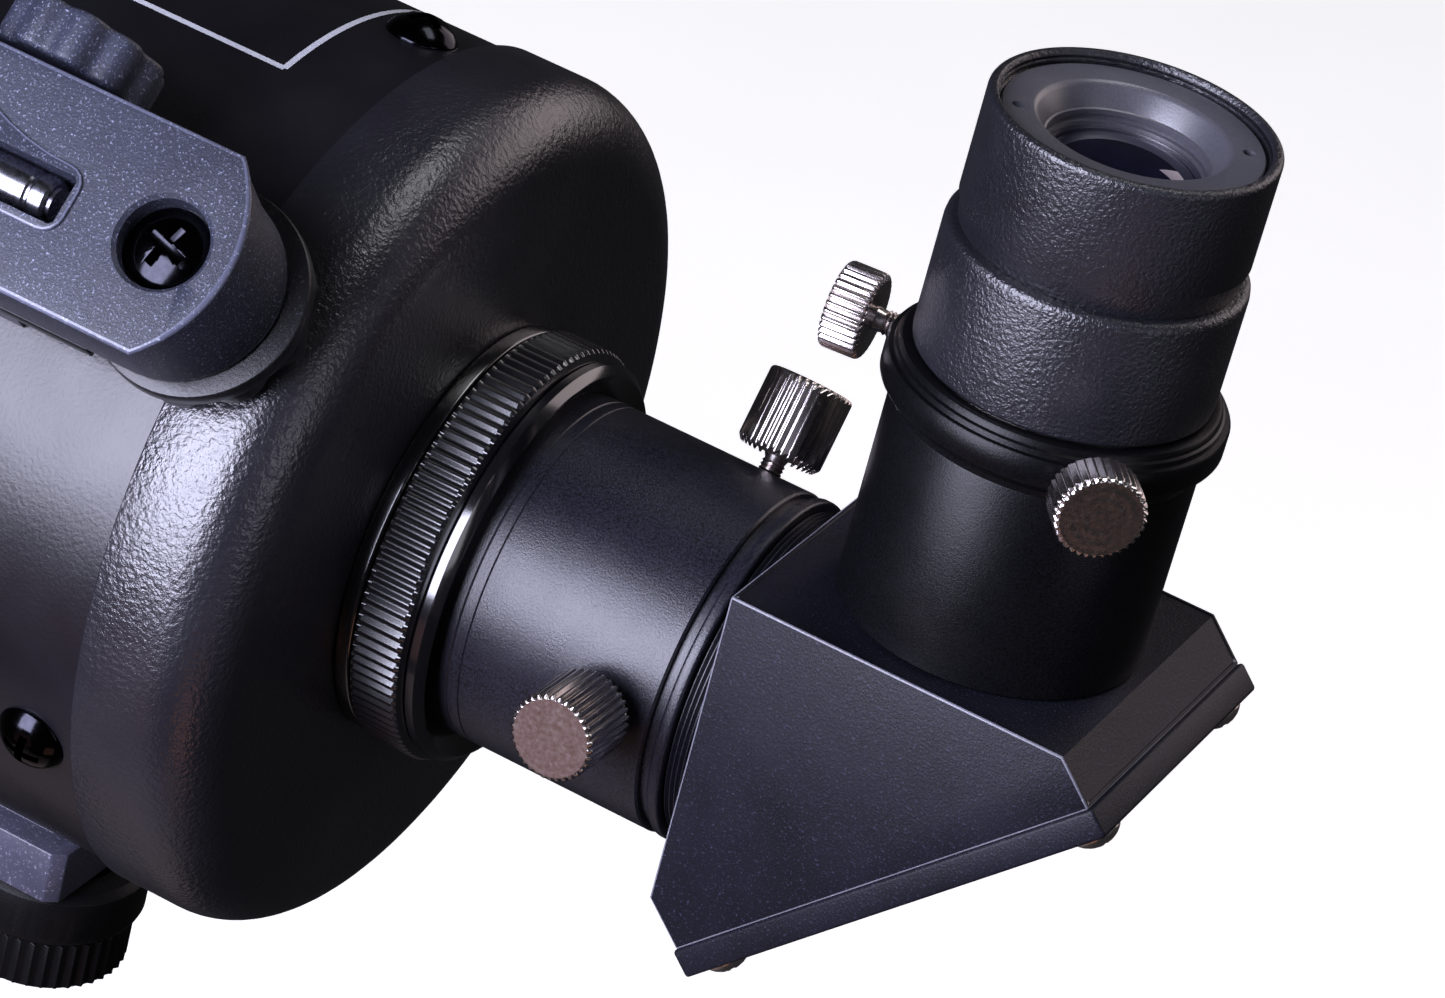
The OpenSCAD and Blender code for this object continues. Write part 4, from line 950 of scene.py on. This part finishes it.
wheel_plastic = matt_paint("black moulded nylon", "#141416", "#1e1e22", "#4a4a50", 0.32, 0.4, 0.05)
wheel = lobed_wheel("altitude_grip", crossing + finder_place(altitude_x, 0, 56.25), finder_out, along,
                    12.2, 2.9, 9, 1.1, 0.45, 2.4)
finish_piece(wheel, "altitude_wheel", "black_plastic", wheel_plastic, "altitude_wheel")
for node, name, station, level, radius, width, lobes, depth, edge in (
        ("azimuth_knob", "azimuth_grip", -109.2, 65.9, 9.6, 6.3, 10, 1.0, 0.8),
        ("switch_knob", "switch_grip", -147.8, 68.5, 6.4, 4.9, 12, 0.6, 0.6)):
    knob_foot = crossing + finder_place(station, finder_half + 1.25, level)
    knob = lobed_wheel(name, knob_foot, finder_across, along, radius, width, lobes, depth, edge, 0.0)
    hub = spun("hub", [(-5.6, 0), (-5.6, 1.55), (0.5, 1.55), (0.5, 0)], knob_foot, finder_across, along,
               32, 30)
    finish_piece(joined(name, [knob, hub]), node, "grey_plastic", flecked_plastic, node)

# --- Castings and mouldings with eased edges ------------------------------------------
# The foot, the clamp knob, the finder's foot, cradle and hoop leave their moulds with
# slightly rounded edges, so each is taken from its solid and its edges are eased.


def eased(node, name, width, segments, angle=35):
    """A copy of a CAD node's mesh with merged points, clean faces and rounded edges."""
    source = frame["nodes"][node]
    piece = bpy.data.objects.new(name, source.data.copy())
    piece.data.name = name
    bpy.context.scene.collection.objects.link(piece)
    piece.data.materials.clear()
    bpy.ops.object.select_all(action="DESELECT")
    piece.select_set(True)
    bpy.context.view_layer.objects.active = piece
    bpy.context.tool_settings.mesh_select_mode = (True, False, False)
    bpy.ops.object.mode_set(mode="EDIT")
    bpy.ops.mesh.select_all(action="SELECT")
    bpy.ops.mesh.remove_doubles(threshold=0.01 * mm)
    bpy.ops.mesh.dissolve_limited(angle_limit=math.radians(2))
    bpy.ops.object.mode_set(mode="OBJECT")
    soften(piece, width, segments, angle=angle)
    return piece


foot_paint = matt_paint("satin paint on die-cast aluminium with wear", "#3a3a46", "#4c4c5c", "#8c8ca0", 0.34,
                        0.4, 0.08)
black_rubber = matt_paint("black moulded rubber", "#040405", "#080809", "#141416", 0.5, 0.35, 0.08, 1.3)
bodies_of = {node: body for body, nodes in frame["record"]["behaviour"]["bodies"].items() for node in nodes}
slots_of = {part["node"]: part["material_slot"] for part in frame["record"]["subparts"]}
for node, name, width, material in (
        ("foot_block", "tripod_foot", 0.7, foot_paint),
        ("clamp_knob", "ribbed_clamp_knob", 0.12, black_rubber),
        ("finder_foot", "finder_shoe", 0.5, foot_paint),
        ("finder_cradle", "finder_bracket", 0.4, wheel_plastic),
        ("finder_hoop", "sight_hoop", 0.6, flecked_plastic),
        ("finder_cell_cover", "cell_door", 0.25, flecked_plastic)):
    finish_piece(eased(node, name, width, 2), bodies_of[node], slots_of[node], material, node)

# --- Front end: lens cell and dew shield ----------------------------------------------
# The cell is a painted casting. The dew shield is a rolled tube with a rounded lip,
# enamelled like the main tube, and a turned ring holds the lens in its cell.
dew_front, dew_back = ends("dew_shield")
dew_r = reach("dew_shield")
dew_wall = 2.0
shield = spun("dew_tube", [
    (tube_front, dew_r - dew_wall), (dew_front + 0.8, dew_r - dew_wall),
    (dew_front + 0.25, dew_r - dew_wall + 0.3)]
    + arc(dew_front + 0.9, dew_r - 0.9, 0.9, 180, 90, 5) + arc(dew_back - 0.9, dew_r - 0.9, 0.9, 90, 0, 5)
    + [(dew_back, tube_r + 0.15), (tube_front, tube_r + 0.15), (tube_front, dew_r - dew_wall)], steps=256)
finish_piece(shield, "tube", "tube_paint", tube_paint, "dew_shield")
cell_low, cell_high = ends("front_cell")
front_r = reach("front_cell")
lens_edge = 51.2
front_casting = spun("lens_cell", [
    (cell_high, 49.7), (cell_high, 52.9), (tube_front, 52.9), (tube_front, front_r - 0.05),
    (cell_low + 0.6, front_r - 0.05),
    (cell_low, front_r - 0.6), (cell_low, lens_edge + 0.5), (cell_low + 0.5, lens_edge),
    (tube_front - 4, lens_edge),
    (tube_front - 4, 48.5), (tube_front, 49.7), (cell_high, 49.7)], steps=256)
finish_piece(front_casting, "tube", "cell_paint", cell_paint, "front_cell")
ring_low, ring_high = ends("lens_retainer")
ring_out = reach("lens_retainer")
lens_ring = spun("lens_ring", [
    (ring_low + 0.3, ring_out), (ring_low, ring_out - 0.3), (ring_low, ring_out - 1.7),
    (ring_low + 0.3, ring_out - 2.0),
    (ring_high - 0.05, ring_out - 2.0), (ring_high - 0.4, ring_out), (ring_low + 0.3, ring_out)], steps=192)
finish_piece(lens_ring, "tube", "black_anodised", milled_black, "lens_retainer")

# --- Inner pieces and glass -----------------------------------------------------------
# Lenses and prism keep their exact surfaces; plated, cork and brass inner pieces keep
# their CAD shapes and get the finish of what they are made of.
objective_glass = coated_glass("coated objective glass, green-blue", "#e8fff4", "#7fd8c0", 0.95, 1.52)
prism_glass = coated_glass("polished prism glass", "#f2fff8", "#c8e8e0", 0.97, 1.57)
ruby_glass = coated_glass("dichroic sight glass, red", "#ffd8d0", "#e06a58", 0.9, 1.5)
turned_brass = bright_screw("turned brass", "#a8863c", "#c9a659", 0.24)
pressed_cork = matt_paint("pressed cork", "#6d5136", "#8a6a48", "#b08c62", 0.8, 0.5, 0.15)
zinc_steel = bright_screw("zinc-plated steel", "#9a9a9e", "#b8b8bc", 0.22)
finishes = {
    "tube_paint": tube_paint, "black_anodised": sheen_grey_anodised, "cell_paint": cell_paint, "nickel": bright_zinc,
    "blackened_steel": black_screw, "steel": zinc_steel, "brass": turned_brass,
    "crown_glass": objective_glass,
    "flint_glass": objective_glass, "eye_glass": eye_glass, "prism_glass": prism_glass,
    "black_plastic": wheel_plastic,
    "grey_plastic": flecked_plastic, "cork": pressed_cork, "cradle_plastic": wheel_plastic}
for name, node in frame["nodes"].items():
    if not node.hide_render:
        node.data.materials.clear()
        node.data.materials.append(ruby_glass if name == "finder_lens" else finishes[slots_of[name]])
